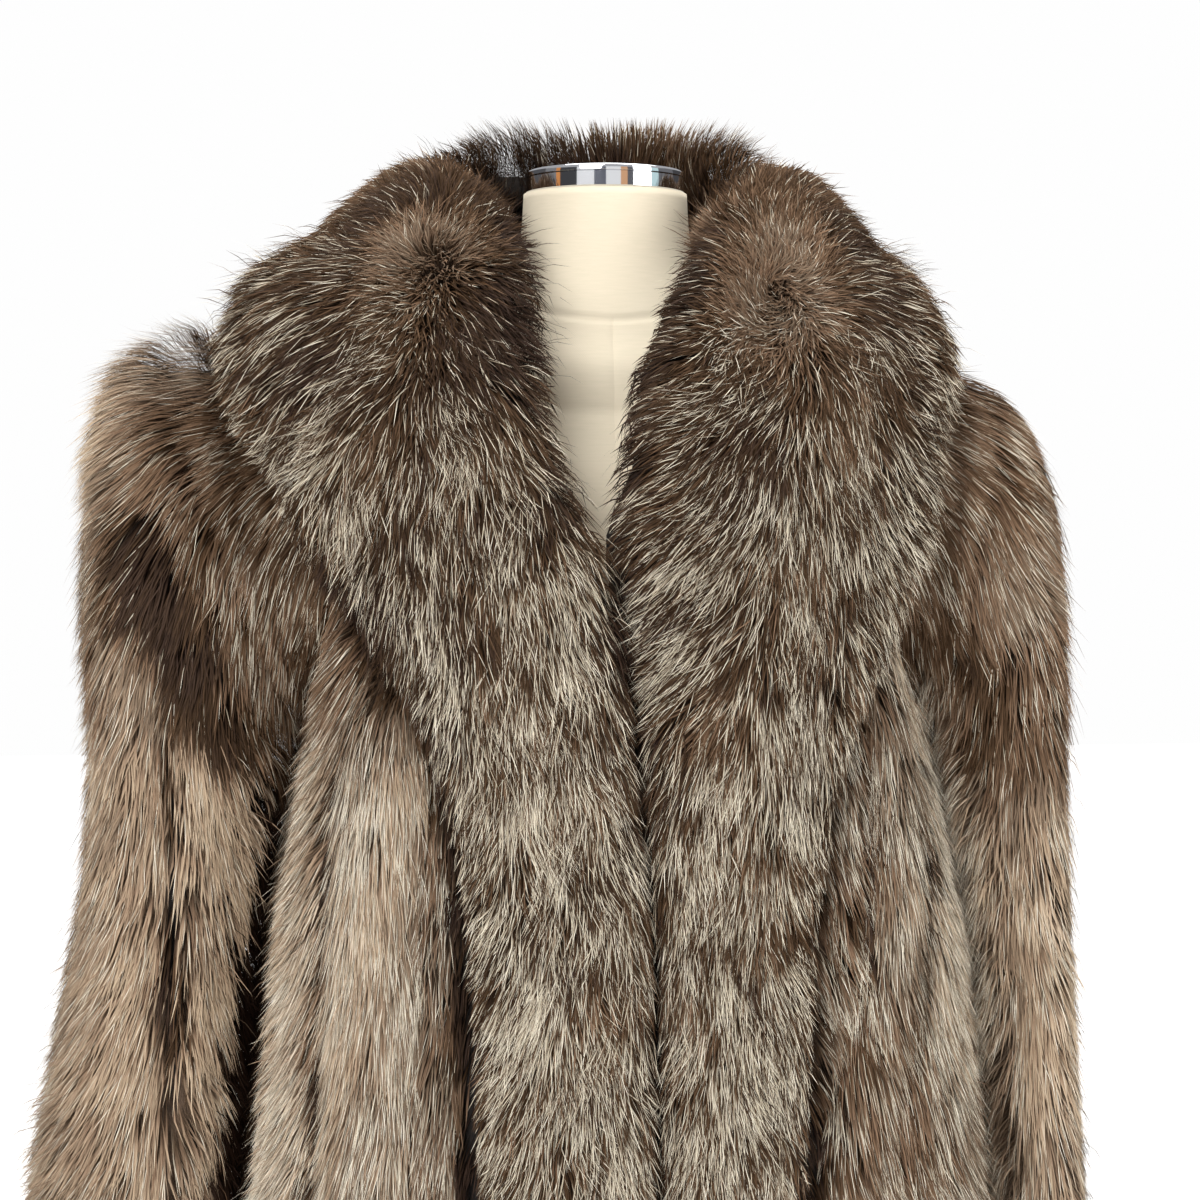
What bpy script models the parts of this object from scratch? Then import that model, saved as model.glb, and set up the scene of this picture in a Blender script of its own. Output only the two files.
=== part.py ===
"""A long-haired fur coat with a wide shawl collar, worn by a limbless dress form on a stand.

Metres, +Z up. +X is the wearer's left and -Y is the front; the origin is on the floor under the
form. Each wall of the coat reaches from its leather, inside, to the tips of its fur, outside. The
pelts stand as long ridges on the outer face only.
"""
from collections import namedtuple
from math import atan2, cos, hypot, pi, radians, sin

import bmesh
import bpy
from mathutils import Vector

# ---- driving dimensions ------------------------------------------------------------------------
SEAM = 0.0004                # between two pieces that are sewn together
ARMHOLE_SEAM = 0.0010        # the same round the armhole, where both edges curve
PILE = 0.030                 # fur standing over the leather of the body
PILE_SIDE = 0.015            # fur pressed under the arm
PILE_COVERED = 0.008         # fur pressed flat under the collar and along the armhole's seam
PELT_GROOVE = 0.014          # depth of the parting between two pelts
HEM_FUR = 0.020              # fur hanging past the leather of the hem
CUFF_FUR = 0.016             # the same past the cuffs
BAND_FUR = 0.010             # and past the lower ends of the bands
CUFF_LEATHER = 0.003         # turning of the leather at the cuff
ROUNDNESS = 2.3              # superellipse power of the body's rings
COLLAR_LIFT = 0.0060         # underside of the collar over the body's fur
FRONT_OVERLAP = 0.007        # the wearer's right band laps over the left one

CAP_TOP = 1.500              # top of the dress form's neck cap
CAP_RADIUS = 0.0575
NECK_RADIUS = 0.0590
POLE_RADIUS = 0.0140
BASE_RADIUS = 0.185
BASE_HEIGHT = 0.014
FORM_FLOOR = 0.800           # underside of the torso

# ---- the coat's body: leather rings from the hem (level 0) up to the neckline (level 9) -----------
Ring = namedtuple("Ring", "z_front z_side z_back half_right half_left front back")
BODY = (
    Ring(0.500, 0.500, 0.500, 0.278, 0.295, 0.200, 0.195),
    Ring(0.660, 0.660, 0.660, 0.262, 0.279, 0.187, 0.184),
    Ring(0.820, 0.820, 0.820, 0.247, 0.265, 0.174, 0.172),
    Ring(0.970, 0.970, 0.970, 0.231, 0.247, 0.162, 0.161),
    Ring(1.112, 1.112, 1.112, 0.208, 0.218, 0.152, 0.153),
    Ring(1.205, 1.208, 1.210, 0.213, 0.212, 0.144, 0.149),
    Ring(1.285, 1.292, 1.298, 0.232, 0.216, 0.132, 0.144),
    Ring(1.330, 1.360, 1.366, 0.250, 0.216, 0.114, 0.136),
    Ring(1.362, 1.389, 1.404, 0.176, 0.160, 0.098, 0.118),
    Ring(1.386, 1.414, 1.432, 0.096, 0.094, 0.086, 0.094),
)
UNDERARM, SHOULDER_TIP, NECKLINE = 4, 7, 9
ARMHOLE_WIDTH = radians(37)  # half of the armhole, as a turn round the body

# Turn of the front edge from the centre front: where the fronts close, and above that the V.
Edge = namedtuple("Edge", "level closing opening")
FRONT_EDGE = (
    Edge(0.0, 3.5, 0.0),
    Edge(3.0, 3.0, 0.0),
    Edge(4.0, 0.5, 0.0),
    Edge(5.4, -3.5, 0.5),
    Edge(6.0, -5.5, 7.5),
    Edge(7.0, -6.0, 10.5),
    Edge(8.0, -4.0, 19.0),
    Edge(8.6, -2.0, 32.0),
    Edge(9.0, 0.0, 56.0),
)

# The collar, from the hem up a front edge and round to the centre back. Each section goes from an
# edge point to an outer point on the leather of the body, each given as a turn and a level. rise is
# its height over the leather, taper the share of it lost towards the outer edge, upright how far it
# turns to straight up, crest a further height where the collar stands behind the neck, and lap_in
# and lap_out how far the fur laps past the leather on each side.
Section = namedtuple(
    "Section",
    "edge level turn_right turn_left out_level rise taper upright crest lap_in lap_out",
)
COLLAR = (
    Section(0, 0.0, 17, 20, 0.00, 0.050, 0.10, 0.00, 0.000, 0.002, 0.012),
    Section(0, 1.0, 18, 21, 1.00, 0.052, 0.10, 0.00, 0.000, 0.002, 0.012),
    Section(0, 2.0, 20, 23, 2.00, 0.054, 0.10, 0.00, 0.000, 0.002, 0.012),
    Section(0, 3.0, 22, 26, 3.00, 0.056, 0.10, 0.00, 0.000, 0.002, 0.013),
    Section(0, 3.7, 26, 31, 3.60, 0.058, 0.10, 0.00, 0.000, 0.002, 0.015),
    Section(0, 4.3, 33, 38, 4.20, 0.060, 0.10, 0.00, 0.000, 0.002, 0.018),
    Section(0, 4.9, 41, 44, 4.80, 0.063, 0.10, 0.02, 0.000, 0.003, 0.023),
    Section(0, 5.4, 48, 49, 5.30, 0.067, 0.10, 0.04, 0.000, 0.006, 0.030),
    Section(9, 6.0, 50, 50, 5.80, 0.072, 0.10, 0.08, 0.000, 0.020, 0.032),
    Section(12, 7.0, 53, 52, 6.30, 0.080, 0.18, 0.14, 0.000, 0.032, 0.028),
    Section(20, 8.0, 60, 59, 6.80, 0.090, 0.26, 0.25, 0.000, 0.032, 0.022),
    Section(33, 8.6, 73, 71, 7.25, 0.098, 0.38, 0.40, 0.000, 0.028, 0.018),
    Section(56, 9.0, 90, 90, 7.60, 0.106, 0.46, 0.55, 0.013, 0.020, 0.018),
    Section(90, 9.0, 106, 106, 7.25, 0.107, 0.46, 0.65, 0.022, 0.020, 0.020),
    Section(120, 9.0, 126, 126, 6.50, 0.102, 0.50, 0.70, 0.040, 0.024, 0.014),
    Section(150, 9.0, 152, 152, 5.85, 0.096, 0.54, 0.75, 0.055, 0.026, 0.010),
    Section(180, 9.0, 180, 180, 5.60, 0.092, 0.56, 0.75, 0.058, 0.026, 0.010),
)

# A sleeve's fur, ring by ring from the shoulder to the cuff: the point nearest the body, the point
# farthest from it, half the depth from front to back, and how far the ring is behind the shoulder.
Cuff = namedtuple("Cuff", "in_x in_z out_x out_z depth behind")
SLEEVE_RIGHT = (
    Cuff(0.225, 1.102, 0.288, 1.378, 0.094, 0.002),
    Cuff(0.232, 1.088, 0.332, 1.368, 0.101, 0.002),
    Cuff(0.237, 1.072, 0.360, 1.327, 0.110, 0.002),
    Cuff(0.242, 1.050, 0.374, 1.260, 0.110, 0.004),
    Cuff(0.248, 1.015, 0.379, 1.185, 0.108, 0.006),
    Cuff(0.254, 0.965, 0.377, 1.095, 0.106, 0.006),
    Cuff(0.260, 0.905, 0.384, 0.995, 0.104, 0.004),
    Cuff(0.266, 0.840, 0.398, 0.895, 0.102, 0.002),
    Cuff(0.274, 0.770, 0.414, 0.795, 0.100, 0.000),
    Cuff(0.282, 0.700, 0.424, 0.705, 0.098, 0.000),
)
SLEEVE_LEFT = (
    Cuff(0.239, 1.102, 0.252, 1.374, 0.094, 0.004),
    Cuff(0.246, 1.088, 0.286, 1.358, 0.102, 0.007),
    Cuff(0.251, 1.072, 0.314, 1.316, 0.112, 0.010),
    Cuff(0.257, 1.050, 0.329, 1.252, 0.115, 0.014),
    Cuff(0.264, 1.015, 0.335, 1.180, 0.116, 0.018),
    Cuff(0.271, 0.965, 0.337, 1.090, 0.116, 0.020),
    Cuff(0.278, 0.905, 0.342, 0.990, 0.114, 0.020),
    Cuff(0.283, 0.840, 0.348, 0.890, 0.112, 0.018),
    Cuff(0.289, 0.770, 0.357, 0.790, 0.110, 0.016),
    Cuff(0.294, 0.700, 0.364, 0.702, 0.108, 0.014),
)
SLEEVE_PILE_IN = 0.012       # fur between the sleeve and the body
UNDERARM_PILE = 0.020        # more of it where the sleeve turns down at the underarm
SLEEVE_PILE_OUT = 0.028
SLEEVE_PILE_FACE = 0.026     # fur on the front and back of the sleeve
SLEEVE_GROOVE = 0.015
SHOULDER_EASE = 5            # rings over which a sleeve takes its own shape below the armhole
TUCK_IN = 0.35               # share of the fur's height that the hem turns in
CUFF_TUCK_IN = 0.14          # share of a cuff's radius that its end turns in

# ---- the dress form: rings of the torso, and of the neck above the coat's shoulders ---------------
Torso = namedtuple("Torso", "z_front z_side z_back half front back")
TORSO = (
    Torso(0.800, 0.800, 0.800, 0.168, 0.108, 0.118),
    Torso(0.880, 0.880, 0.880, 0.176, 0.114, 0.126),
    Torso(0.960, 0.960, 0.960, 0.158, 0.105, 0.108),
    Torso(1.040, 1.040, 1.040, 0.128, 0.094, 0.088),
    Torso(1.130, 1.130, 1.130, 0.145, 0.112, 0.100),
    Torso(1.205, 1.205, 1.210, 0.162, 0.126, 0.112),
    Torso(1.280, 1.290, 1.295, 0.168, 0.108, 0.118),
    Torso(1.325, 1.345, 1.350, 0.178, 0.086, 0.112),
)
NECK = (
    Torso(1.404, 1.424, 1.436, 0.0690, 0.0690, 0.0690),
    Torso(1.436, 1.444, 1.450, 0.0610, 0.0610, 0.0610),
    Torso(1.484, 1.484, 1.484, NECK_RADIUS, NECK_RADIUS, NECK_RADIUS),
)
SHOULDER_GAP = 0.0006        # the leather rests this far off the form's shoulders
CHEST_GAP = 0.012            # and hangs this far off its chest and back

# ---- how finely the pieces are divided -------------------------------------------------------------
PELT_COLUMNS = 4             # columns of points across one pelt
FRONT_PELTS = 6
BACK_PELTS = 12
SKIRT_ROWS = 8               # rows of points from the hem to the underarm
ARMHOLE_ROWS = 12
SHOULDER_ROWS = 4
SLEEVE_ROWS = 14
SLEEVE_COLUMNS = 2 * ARMHOLE_ROWS
BAND_STEPS = 2               # rows of points from one section of the band to the next
COLLAR_STEPS = 3             # the same above the band, where the collar turns round the neck
BAND_SECTIONS = 5
COLLAR_ARCH = 10             # points over a section's arch
COLLAR_BASE = 6              # points along its underside
FORM_COLUMNS = 48


# ---- curves ------------------------------------------------------------------------------------------
def blend(rows, at):
    """Row of values on a smooth curve through the rows, which are one unit apart."""
    last = len(rows) - 1
    at = min(max(at, 0.0), last)
    k = min(int(at), last - 1)
    t = at - k
    before, low, high, after = (rows[min(max(i, 0), last)] for i in (k - 1, k, k + 1, k + 2))
    values = []
    for a, b, c, d in zip(before, low, high, after):
        curve = b + 0.5 * t * (c - a + t * (2 * a - 5 * b + 4 * c - d + t * (3 * (b - c) + d - a)))
        values.append(curve)
    return type(low)(*values)


def between(pairs, at):
    """Value read from (place, value) pairs by straight lines."""
    for (low, start), (high, end) in zip(pairs, pairs[1:]):
        if at <= high:
            return start + (end - start) * max(at - low, 0.0) / (high - low)
    return pairs[-1][1]


def soft(t):
    """0 below 0, 1 above 1, and a smooth step between."""
    t = min(max(t, 0.0), 1.0)
    return t * t * (3 - 2 * t)


def ring_point(ring, half, turn):
    """Point of a ring at a turn from the centre front, positive to the wearer's left."""
    side, face = sin(turn), cos(turn)
    reach = (abs(side) ** ROUNDNESS + abs(face) ** ROUNDNESS) ** (-1 / ROUNDNESS)
    depth, level = (ring.front, ring.z_front) if face > 0 else (ring.back, ring.z_back)
    height = ring.z_side + (level - ring.z_side) * face * face
    return Vector((half * reach * side, -depth * reach * face, height))


# ---- the leather of the coat's body -------------------------------------------------------------------
def leather(turn, level):
    ring = blend(BODY, level)
    half = ring.half_left if sin(turn) > 0 else ring.half_right
    return ring_point(ring, half, turn)


def leather_normal(turn, level):
    step = 0.02
    low, high = max(level - step, 0.0), min(level + step, NECKLINE)
    along = leather(turn, high) - leather(turn, low)
    across = leather(turn + step, level) - leather(turn - step, level)
    return across.cross(along).normalized()


def front_edge(level, side):
    """Turn of a front's edge on one side, -1 the wearer's right and +1 the left."""
    closing = between([(e.level, e.closing) for e in FRONT_EDGE], level)
    opening = between([(e.level, e.opening) for e in FRONT_EDGE], level)
    return side * radians(closing * side + opening)


def armhole_turn(level):
    """How far the armhole's edge is from the side line, as a turn; 0 outside the armhole."""
    t = (level - UNDERARM) / (SHOULDER_TIP - UNDERARM)
    if t <= 0 or t >= 1:
        return 0.0
    return ARMHOLE_WIDTH * sin(pi * t) ** 0.75


def near_armhole(turn, level):
    """0 on the edge of the armhole, 1 well away from it."""
    beside = abs(pi / 2 - turn_from_front(turn)) - armhole_turn(level)
    beyond = max(UNDERARM - level, level - SHOULDER_TIP, 0.0)
    return soft(hypot(max(beside, 0.0) / radians(11), beyond / 0.55))


def turn_from_front(turn):
    return abs(atan2(sin(turn), cos(turn)))


def under_collar(turn, level):
    """1 where the collar covers the body, 0 where it doesn't."""
    away = turn_from_front(turn)
    fronts = [s for s in COLLAR if s.turn_left <= 90]
    backs = [s for s in COLLAR if s.turn_left >= 90]
    if away < pi / 2:
        turns = [(s.out_level, radians(s.turn_left if sin(turn) > 0 else s.turn_right)) for s in fronts]
        return 1 - soft((away - between(turns, level) - radians(2)) / radians(9))
    levels = [(radians(s.turn_left), s.out_level) for s in backs]
    return 1 - soft((between(levels, away) - level - 0.15) / 0.45)


def body_pile(turn, level):
    """Height of the fur over the leather, without the pelts' partings."""
    under_arm = soft((abs(sin(turn)) - 0.72) / 0.22) * soft((6.2 - level) / 1.5)
    pile = PILE + (PILE_SIDE - PILE) * under_arm
    pressed = max(under_collar(turn, level), 1 - near_armhole(turn, level))
    return pile + (PILE_COVERED - pile) * pressed


def parting(column, columns):
    """Share of the parting's depth: 1 between two pelts, 0 on the crown of one."""
    t = (column % PELT_COLUMNS) / PELT_COLUMNS
    at_end = column in (0, columns)
    return 0.6 if at_end else 1 - sin(pi * t) ** 0.7


def body_levels():
    """Levels of the rows of points, with every row of the armhole shared by body and sleeve."""
    skirt = [UNDERARM * i / SKIRT_ROWS for i in range(SKIRT_ROWS)]
    hole = [armhole_level(i) for i in range(ARMHOLE_ROWS)]
    span = NECKLINE - SHOULDER_TIP
    top = [SHOULDER_TIP + span * i / SHOULDER_ROWS for i in range(SHOULDER_ROWS + 1)]
    return skirt + hole + top


def armhole_level(row):
    """Rows are closer together at the underarm and the shoulder, where the armhole turns."""
    t = row / ARMHOLE_ROWS
    return UNDERARM + (SHOULDER_TIP - UNDERARM) * (t - 0.09 * sin(2 * pi * t))


def body_point(turn, level, column, columns):
    pile = body_pile(turn, level)
    open_fur = min(max((pile - PILE_COVERED) / (PILE - PILE_COVERED), 0.0), 1.0)
    pile -= PELT_GROOVE * open_fur * parting(column, columns)
    point = leather(turn, level) + leather_normal(turn, level) * pile
    if level == 0:
        point.z -= HEM_FUR
        inward = leather(turn, 0) - point
        point += Vector((inward.x, inward.y, 0)) * TUCK_IN
    return point


def panel(turn_at, pelts):
    """Outer and inner rows of points of one panel; turn_at gives a column's turn at a level."""
    columns = pelts * PELT_COLUMNS
    outer, inner = [], []
    for level in body_levels():
        turns = [turn_at(k / columns, level) for k in range(columns + 1)]
        outer.append([body_point(turn, level, k, columns) for k, turn in enumerate(turns)])
        inner.append([leather(turn, level) for turn in turns[::2]])
    return outer, inner


# ---- meshes ------------------------------------------------------------------------------------------
def material(name, colour, roughness, metallic=0.0):
    made = bpy.data.materials.new(name)
    made.use_nodes = True
    shader = made.node_tree.nodes["Principled BSDF"]
    shader.inputs["Base Color"].default_value = (*colour, 1.0)
    shader.inputs["Roughness"].default_value = roughness
    shader.inputs["Metallic"].default_value = metallic
    return made


def add_object(name, bm, finish):
    bmesh.ops.recalc_face_normals(bm, faces=bm.faces[:])
    bmesh.ops.triangulate(bm, faces=bm.faces[:])
    mesh = bpy.data.meshes.new(name)
    bm.to_mesh(mesh)
    bm.free()
    mesh.materials.append(finish)
    mesh.shade_smooth()
    mesh.set_sharp_from_angle(angle=radians(50))
    made = bpy.data.objects.new(name, mesh)
    bpy.context.scene.collection.objects.link(made)
    return made


def grid_faces(bm, rows, closed):
    for low, high in zip(rows, rows[1:]):
        count = len(low)
        for k in range(count if closed else count - 1):
            n = (k + 1) % count
            bm.faces.new((low[k], low[n], high[n], high[k]))


def rim_faces(bm, fine, coarse, closed):
    """Strip between an outer row and an inner row that has all or every second of its points."""
    if len(fine) == len(coarse):
        grid_faces(bm, [fine, coarse], closed)
        return
    for k in range(len(coarse) if closed else len(coarse) - 1):
        near, far = coarse[k], coarse[(k + 1) % len(coarse)]
        first, middle = fine[2 * k], fine[2 * k + 1]
        last = fine[(2 * k + 2) % len(fine)]
        bm.faces.new((first, middle, near))
        bm.faces.new((middle, far, near))
        bm.faces.new((middle, last, far))


def wall(name, outer, inner, finish, closed=False):
    """Solid wall between an outer and an inner grid, which may have half the outer's columns."""
    bm = bmesh.new()
    outside = [[bm.verts.new(p) for p in row] for row in outer]
    inside = [[bm.verts.new(p) for p in row] for row in inner]
    grid_faces(bm, outside, closed)
    grid_faces(bm, inside, closed)
    for row in (0, -1):
        rim_faces(bm, outside[row], inside[row], closed)
    if not closed:
        for column in (0, -1):
            edge = [row[column] for row in outside]
            back = [row[column] for row in inside]
            grid_faces(bm, [edge, back], False)
    return add_object(name, bm, finish)


def loft(name, rings, finish):
    """Closed solid through rings of points, with a flat face on each end."""
    bm = bmesh.new()
    rows = [[bm.verts.new(p) for p in ring] for ring in rings]
    grid_faces(bm, rows, True)
    bm.faces.new(rows[0])
    bm.faces.new(rows[-1])
    return add_object(name, bm, finish)


def turned(name, profile, sides, finish):
    """Closed solid of revolution about Z through (radius, height) points, capped at both ends."""
    rings = []
    for radius, height in profile:
        angles = [2 * pi * k / sides for k in range(sides)]
        rings.append([Vector((radius * cos(a), radius * sin(a), height)) for a in angles])
    return loft(name, rings, finish)


# ---- the coat ----------------------------------------------------------------------------------------
def seam_turn(level):
    """Half the seam's width, as a turn round the body."""
    return 0.5 * SEAM / leather(pi / 2, level).x


def build_front(name, side, finish):
    def turn_at(share, level):
        """The columns start along the front edge and close up beside the armhole."""
        gap = seam_turn(level) * 1.6
        edge = side * front_edge(level, side)
        straight = edge + gap + (pi / 2 - edge - 2 * gap) * share
        return side * (straight - armhole_turn(level) * share ** 1.5)

    wall(name, *panel(turn_at, FRONT_PELTS), finish)


def build_back(finish):
    def turn_at(share, level):
        beside = 2 * share - 1
        close_up = armhole_turn(level) * abs(beside) ** 1.5
        return pi + beside * pi / 2 - (close_up if beside > 0 else -close_up)

    wall("coat_back", *panel(turn_at, BACK_PELTS), finish)


def armhole_loop(side):
    """Fur and leather points round the armhole: from the shoulder down the front and up the back."""
    fur, skin = [], []
    for k in range(SLEEVE_COLUMNS):
        row = ARMHOLE_ROWS - k if k <= ARMHOLE_ROWS else k - ARMHOLE_ROWS
        level = armhole_level(row)
        toward = -1 if k <= ARMHOLE_ROWS else 1
        turn = side * (pi / 2 + toward * armhole_turn(level))
        fur.append(body_point(turn, level, 0, FRONT_PELTS * PELT_COLUMNS))
        skin.append(leather(turn, level))
    return fur, skin


def sleeve_ring(row, side, down, leather_side=False):
    """Points round one ring of fur or leather; down is 0 at the armhole and 1 below the underarm."""
    inner, outer = Vector((row.in_x, 0, row.in_z)), Vector((row.out_x, 0, row.out_z))
    depth = row.depth
    if leather_side:
        across = (outer - inner).normalized()
        inner += across * (SLEEVE_PILE_IN + UNDERARM_PILE * (1 - down))
        outer -= across * SLEEVE_PILE_OUT
        depth -= SLEEVE_PILE_FACE
    middle, reach = (inner + outer) / 2, (outer - inner) / 2
    points = []
    for k in range(SLEEVE_COLUMNS):
        turn = 2 * pi * k / SLEEVE_COLUMNS
        out, face = cos(turn), sin(turn)
        grow = (abs(out) ** ROUNDNESS + abs(face) ** ROUNDNESS) ** (-1 / ROUNDNESS)
        if not leather_side:
            t = ((k + 2) % PELT_COLUMNS) / PELT_COLUMNS
            clear_of_body = soft((out + 0.55) / 0.5)
            grow -= down * clear_of_body * SLEEVE_GROOVE / depth * (1 - sin(pi * t) ** 0.7)
        point = middle + reach * (out * grow)
        points.append(Vector((side * point.x, row.behind - face * grow * depth, point.z)))
    return points


def build_sleeve(name, side, table, finish):
    fur, skin = armhole_loop(side)
    centre = sum(skin, Vector()) / len(skin)
    outer = [[p + (centre - p).normalized() * ARMHOLE_SEAM for p in fur]]
    inner = [[p + (centre - p).normalized() * ARMHOLE_SEAM for p in skin]]
    for i in range(SLEEVE_ROWS + 1):
        row = blend(table, (len(table) - 1) * i / SLEEVE_ROWS)
        down = soft(i / SHOULDER_EASE)
        outer.append(sleeve_ring(row, side, down))
        inner.append(sleeve_ring(row, side, down, leather_side=True))
    last = [Vector(p) for p in outer[-1]]
    middle = sum(last, Vector()) / len(last)
    for p in last:
        p += (middle - p) * CUFF_TUCK_IN
        p.z -= CUFF_FUR
    outer.append(last)
    inner.append([p - Vector((0, 0, CUFF_LEATHER)) for p in inner[-1]])
    wall(name, outer, inner, finish, closed=True)


def collar_section(at, side):
    """Closed ring of points of the collar at one section, given by its place along COLLAR."""
    row = blend(COLLAR, at)
    edge = side * radians(row.edge)
    if row.edge < 56:
        edge = front_edge(row.level, side) + side * seam_turn(min(row.level, 5)) * 1.6
    outer = side * radians(row.turn_left if side > 0 else row.turn_right)
    lap_in = row.lap_in - side * FRONT_OVERLAP * soft((5.6 - row.level) / 0.6)

    def place(share):
        return edge + (outer - edge) * share, row.level + (row.out_level - row.level) * share

    length = (leather(*place(0)) - leather(*place(1))).length

    def stand(distance, height):
        """Point at a distance across the section from its edge, and a height over the leather."""
        share = min(max(distance / length, 0.0), 1.0)
        base = leather(*place(share))
        lean = row.upright * (1 - share) ** 0.7
        up = leather_normal(*place(share)) * (1 - lean) + Vector((0, 0, lean))
        spare = distance - share * length
        if spare:
            near = place(0.04 if share == 0 else 0.96)
            along = (leather(*near) - base).normalized() * (1 if share == 0 else -1)
            base = base + along * spare
        return base + up.normalized() * height

    under = PILE_COVERED + COLLAR_LIFT
    ring = []
    for k in range(COLLAR_BASE):
        share = 1 - k / (COLLAR_BASE - 1)
        height = under if k < COLLAR_BASE - 1 else PILE_COVERED + 3 * SEAM
        ring.append(stand(share * length, height))
    for k in range(COLLAR_ARCH):
        turn = pi * (k + 0.35) / (COLLAR_ARCH - 0.3)
        reach = -cos(turn)
        share = (1 + reach) / 2
        lap = lap_in if reach < 0 else row.lap_out
        distance = length / 2 + (length / 2 + lap) * reach * min(1.0, 0.62 + 1.6 * sin(turn))
        low = under + 0.006 + 0.75 * row.lap_out * share
        height = low + (row.rise * (1 - row.taper * share) - low) * sin(turn) ** 0.8
        point = stand(distance, height)
        point.z += row.crest * sin(turn) * (1 - share * share)
        ring.append(point)
    return ring


def build_collar(name, side, finish):
    last = len(COLLAR) - 1
    band = [k / BAND_STEPS for k in range(BAND_SECTIONS * BAND_STEPS)]
    turning = (last - BAND_SECTIONS) * COLLAR_STEPS
    places = band + [BAND_SECTIONS + k / COLLAR_STEPS for k in range(turning + 1)]
    rings = [collar_section(at, side) for at in places]
    for p in rings[-1]:
        p.x = side * SEAM / 2
    for p in rings[0]:
        p.z -= BAND_FUR
    loft(name, rings, finish)


def build_coat():
    pelt = material("fur_pelt", (0.235, 0.165, 0.110), 0.75)
    pale = material("fur_pelt_pale", (0.290, 0.205, 0.140), 0.75)
    deep = material("fur_collar", (0.150, 0.115, 0.080), 0.72)
    build_back(pelt)
    build_front("coat_front_right", -1, pelt)
    build_front("coat_front_left", 1, pelt)
    build_sleeve("sleeve_right", -1, SLEEVE_RIGHT, pale)
    build_sleeve("sleeve_left", 1, SLEEVE_LEFT, pale)
    build_collar("collar_right", -1, deep)
    build_collar("collar_left", 1, deep)


# ---- the dress form ------------------------------------------------------------------------------------
def form_turns():
    return [2 * pi * k / FORM_COLUMNS for k in range(FORM_COLUMNS)]


def form_shoulder_ring(level):
    """Ring of the form just under the leather of the coat: close on the shoulders, free elsewhere."""
    ring = []
    for turn in form_turns():
        free = 1 - soft((abs(sin(turn)) - 0.80) / 0.18)
        gap = SHOULDER_GAP + CHEST_GAP * free
        ring.append(leather(turn, level) - leather_normal(turn, level) * gap)
    return ring


def build_form():
    linen = material("linen_cloth", (0.780, 0.700, 0.560), 0.85)
    chrome = material("chrome_cap", (0.800, 0.800, 0.810), 0.08, metallic=1.0)
    steel = material("brushed_steel", (0.560, 0.560, 0.570), 0.32, metallic=1.0)
    rings = []
    for row in TORSO:
        rings.append([ring_point(row, row.half, turn) for turn in form_turns()])
    for level in (8.0, 8.5, 9.0):
        rings.append(form_shoulder_ring(level))
    for row in NECK:
        circle = []
        for turn in form_turns():
            face = cos(turn)
            level = row.z_front if face > 0 else row.z_back
            height = row.z_side + (level - row.z_side) * face * face
            circle.append(Vector((row.half * sin(turn), -row.half * face, height)))
        rings.append(circle)
    loft("form_body", rings, linen)
    floor = NECK[-1].z_side + SEAM
    bevel = 0.0015
    cap = (
        (CAP_RADIUS, floor),
        (CAP_RADIUS, CAP_TOP - bevel),
        (CAP_RADIUS - bevel, CAP_TOP),
        (CAP_RADIUS * 0.5, CAP_TOP + 0.0004),
    )
    turned("form_neck_cap", cap, 48, chrome)
    boss = 0.030
    pole = (
        (POLE_RADIUS, BASE_HEIGHT + boss + SEAM),
        (POLE_RADIUS, FORM_FLOOR - 0.024),
        (POLE_RADIUS * 1.7, FORM_FLOOR - 0.020),
        (POLE_RADIUS * 3.2, FORM_FLOOR - 0.006),
        (POLE_RADIUS * 3.2, FORM_FLOOR - SEAM),
    )
    turned("stand_pole", pole, 24, steel)
    base = (
        (BASE_RADIUS, 0.0),
        (BASE_RADIUS, BASE_HEIGHT - 0.004),
        (BASE_RADIUS - 0.004, BASE_HEIGHT),
        (POLE_RADIUS * 2.6, BASE_HEIGHT + 0.004),
        (POLE_RADIUS * 1.9, BASE_HEIGHT + boss - 0.002),
        (POLE_RADIUS * 1.7, BASE_HEIGHT + boss),
    )
    turned("stand_base", base, 48, steel)


def main():
    for old in list(bpy.data.objects):
        bpy.data.objects.remove(old)
    build_coat()
    build_form()


main()
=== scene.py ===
"""The looks of a long-haired fur coat with a wide shawl collar, worn by a linen dress form.

Metres, +Z up; +X is the wearer's left and -Y the front. Each piece of the coat is a pelt, which is
a thin shell of leather and underfur, with the long hairs that grow on it. The hairs are clumps of
narrow blades. They are combed by tables of angles that follow the garment's own seams.
"""
from collections import namedtuple
from math import cos, pi, radians, sin

import bmesh
import bpy
import numpy as np
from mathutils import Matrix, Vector


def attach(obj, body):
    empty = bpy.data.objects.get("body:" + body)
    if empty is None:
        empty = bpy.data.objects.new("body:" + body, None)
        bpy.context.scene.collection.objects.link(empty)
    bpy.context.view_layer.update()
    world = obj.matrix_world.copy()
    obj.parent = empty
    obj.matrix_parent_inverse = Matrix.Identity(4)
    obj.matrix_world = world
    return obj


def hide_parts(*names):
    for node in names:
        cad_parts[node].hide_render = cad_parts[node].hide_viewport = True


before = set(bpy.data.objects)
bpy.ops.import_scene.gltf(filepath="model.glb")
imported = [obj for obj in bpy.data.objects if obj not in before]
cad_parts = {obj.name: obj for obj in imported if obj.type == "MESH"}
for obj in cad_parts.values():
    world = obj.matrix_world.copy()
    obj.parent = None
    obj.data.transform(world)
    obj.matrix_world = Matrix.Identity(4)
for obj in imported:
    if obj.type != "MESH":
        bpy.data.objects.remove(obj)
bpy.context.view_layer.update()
bpy.ops.object.select_all(action="DESELECT")

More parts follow.
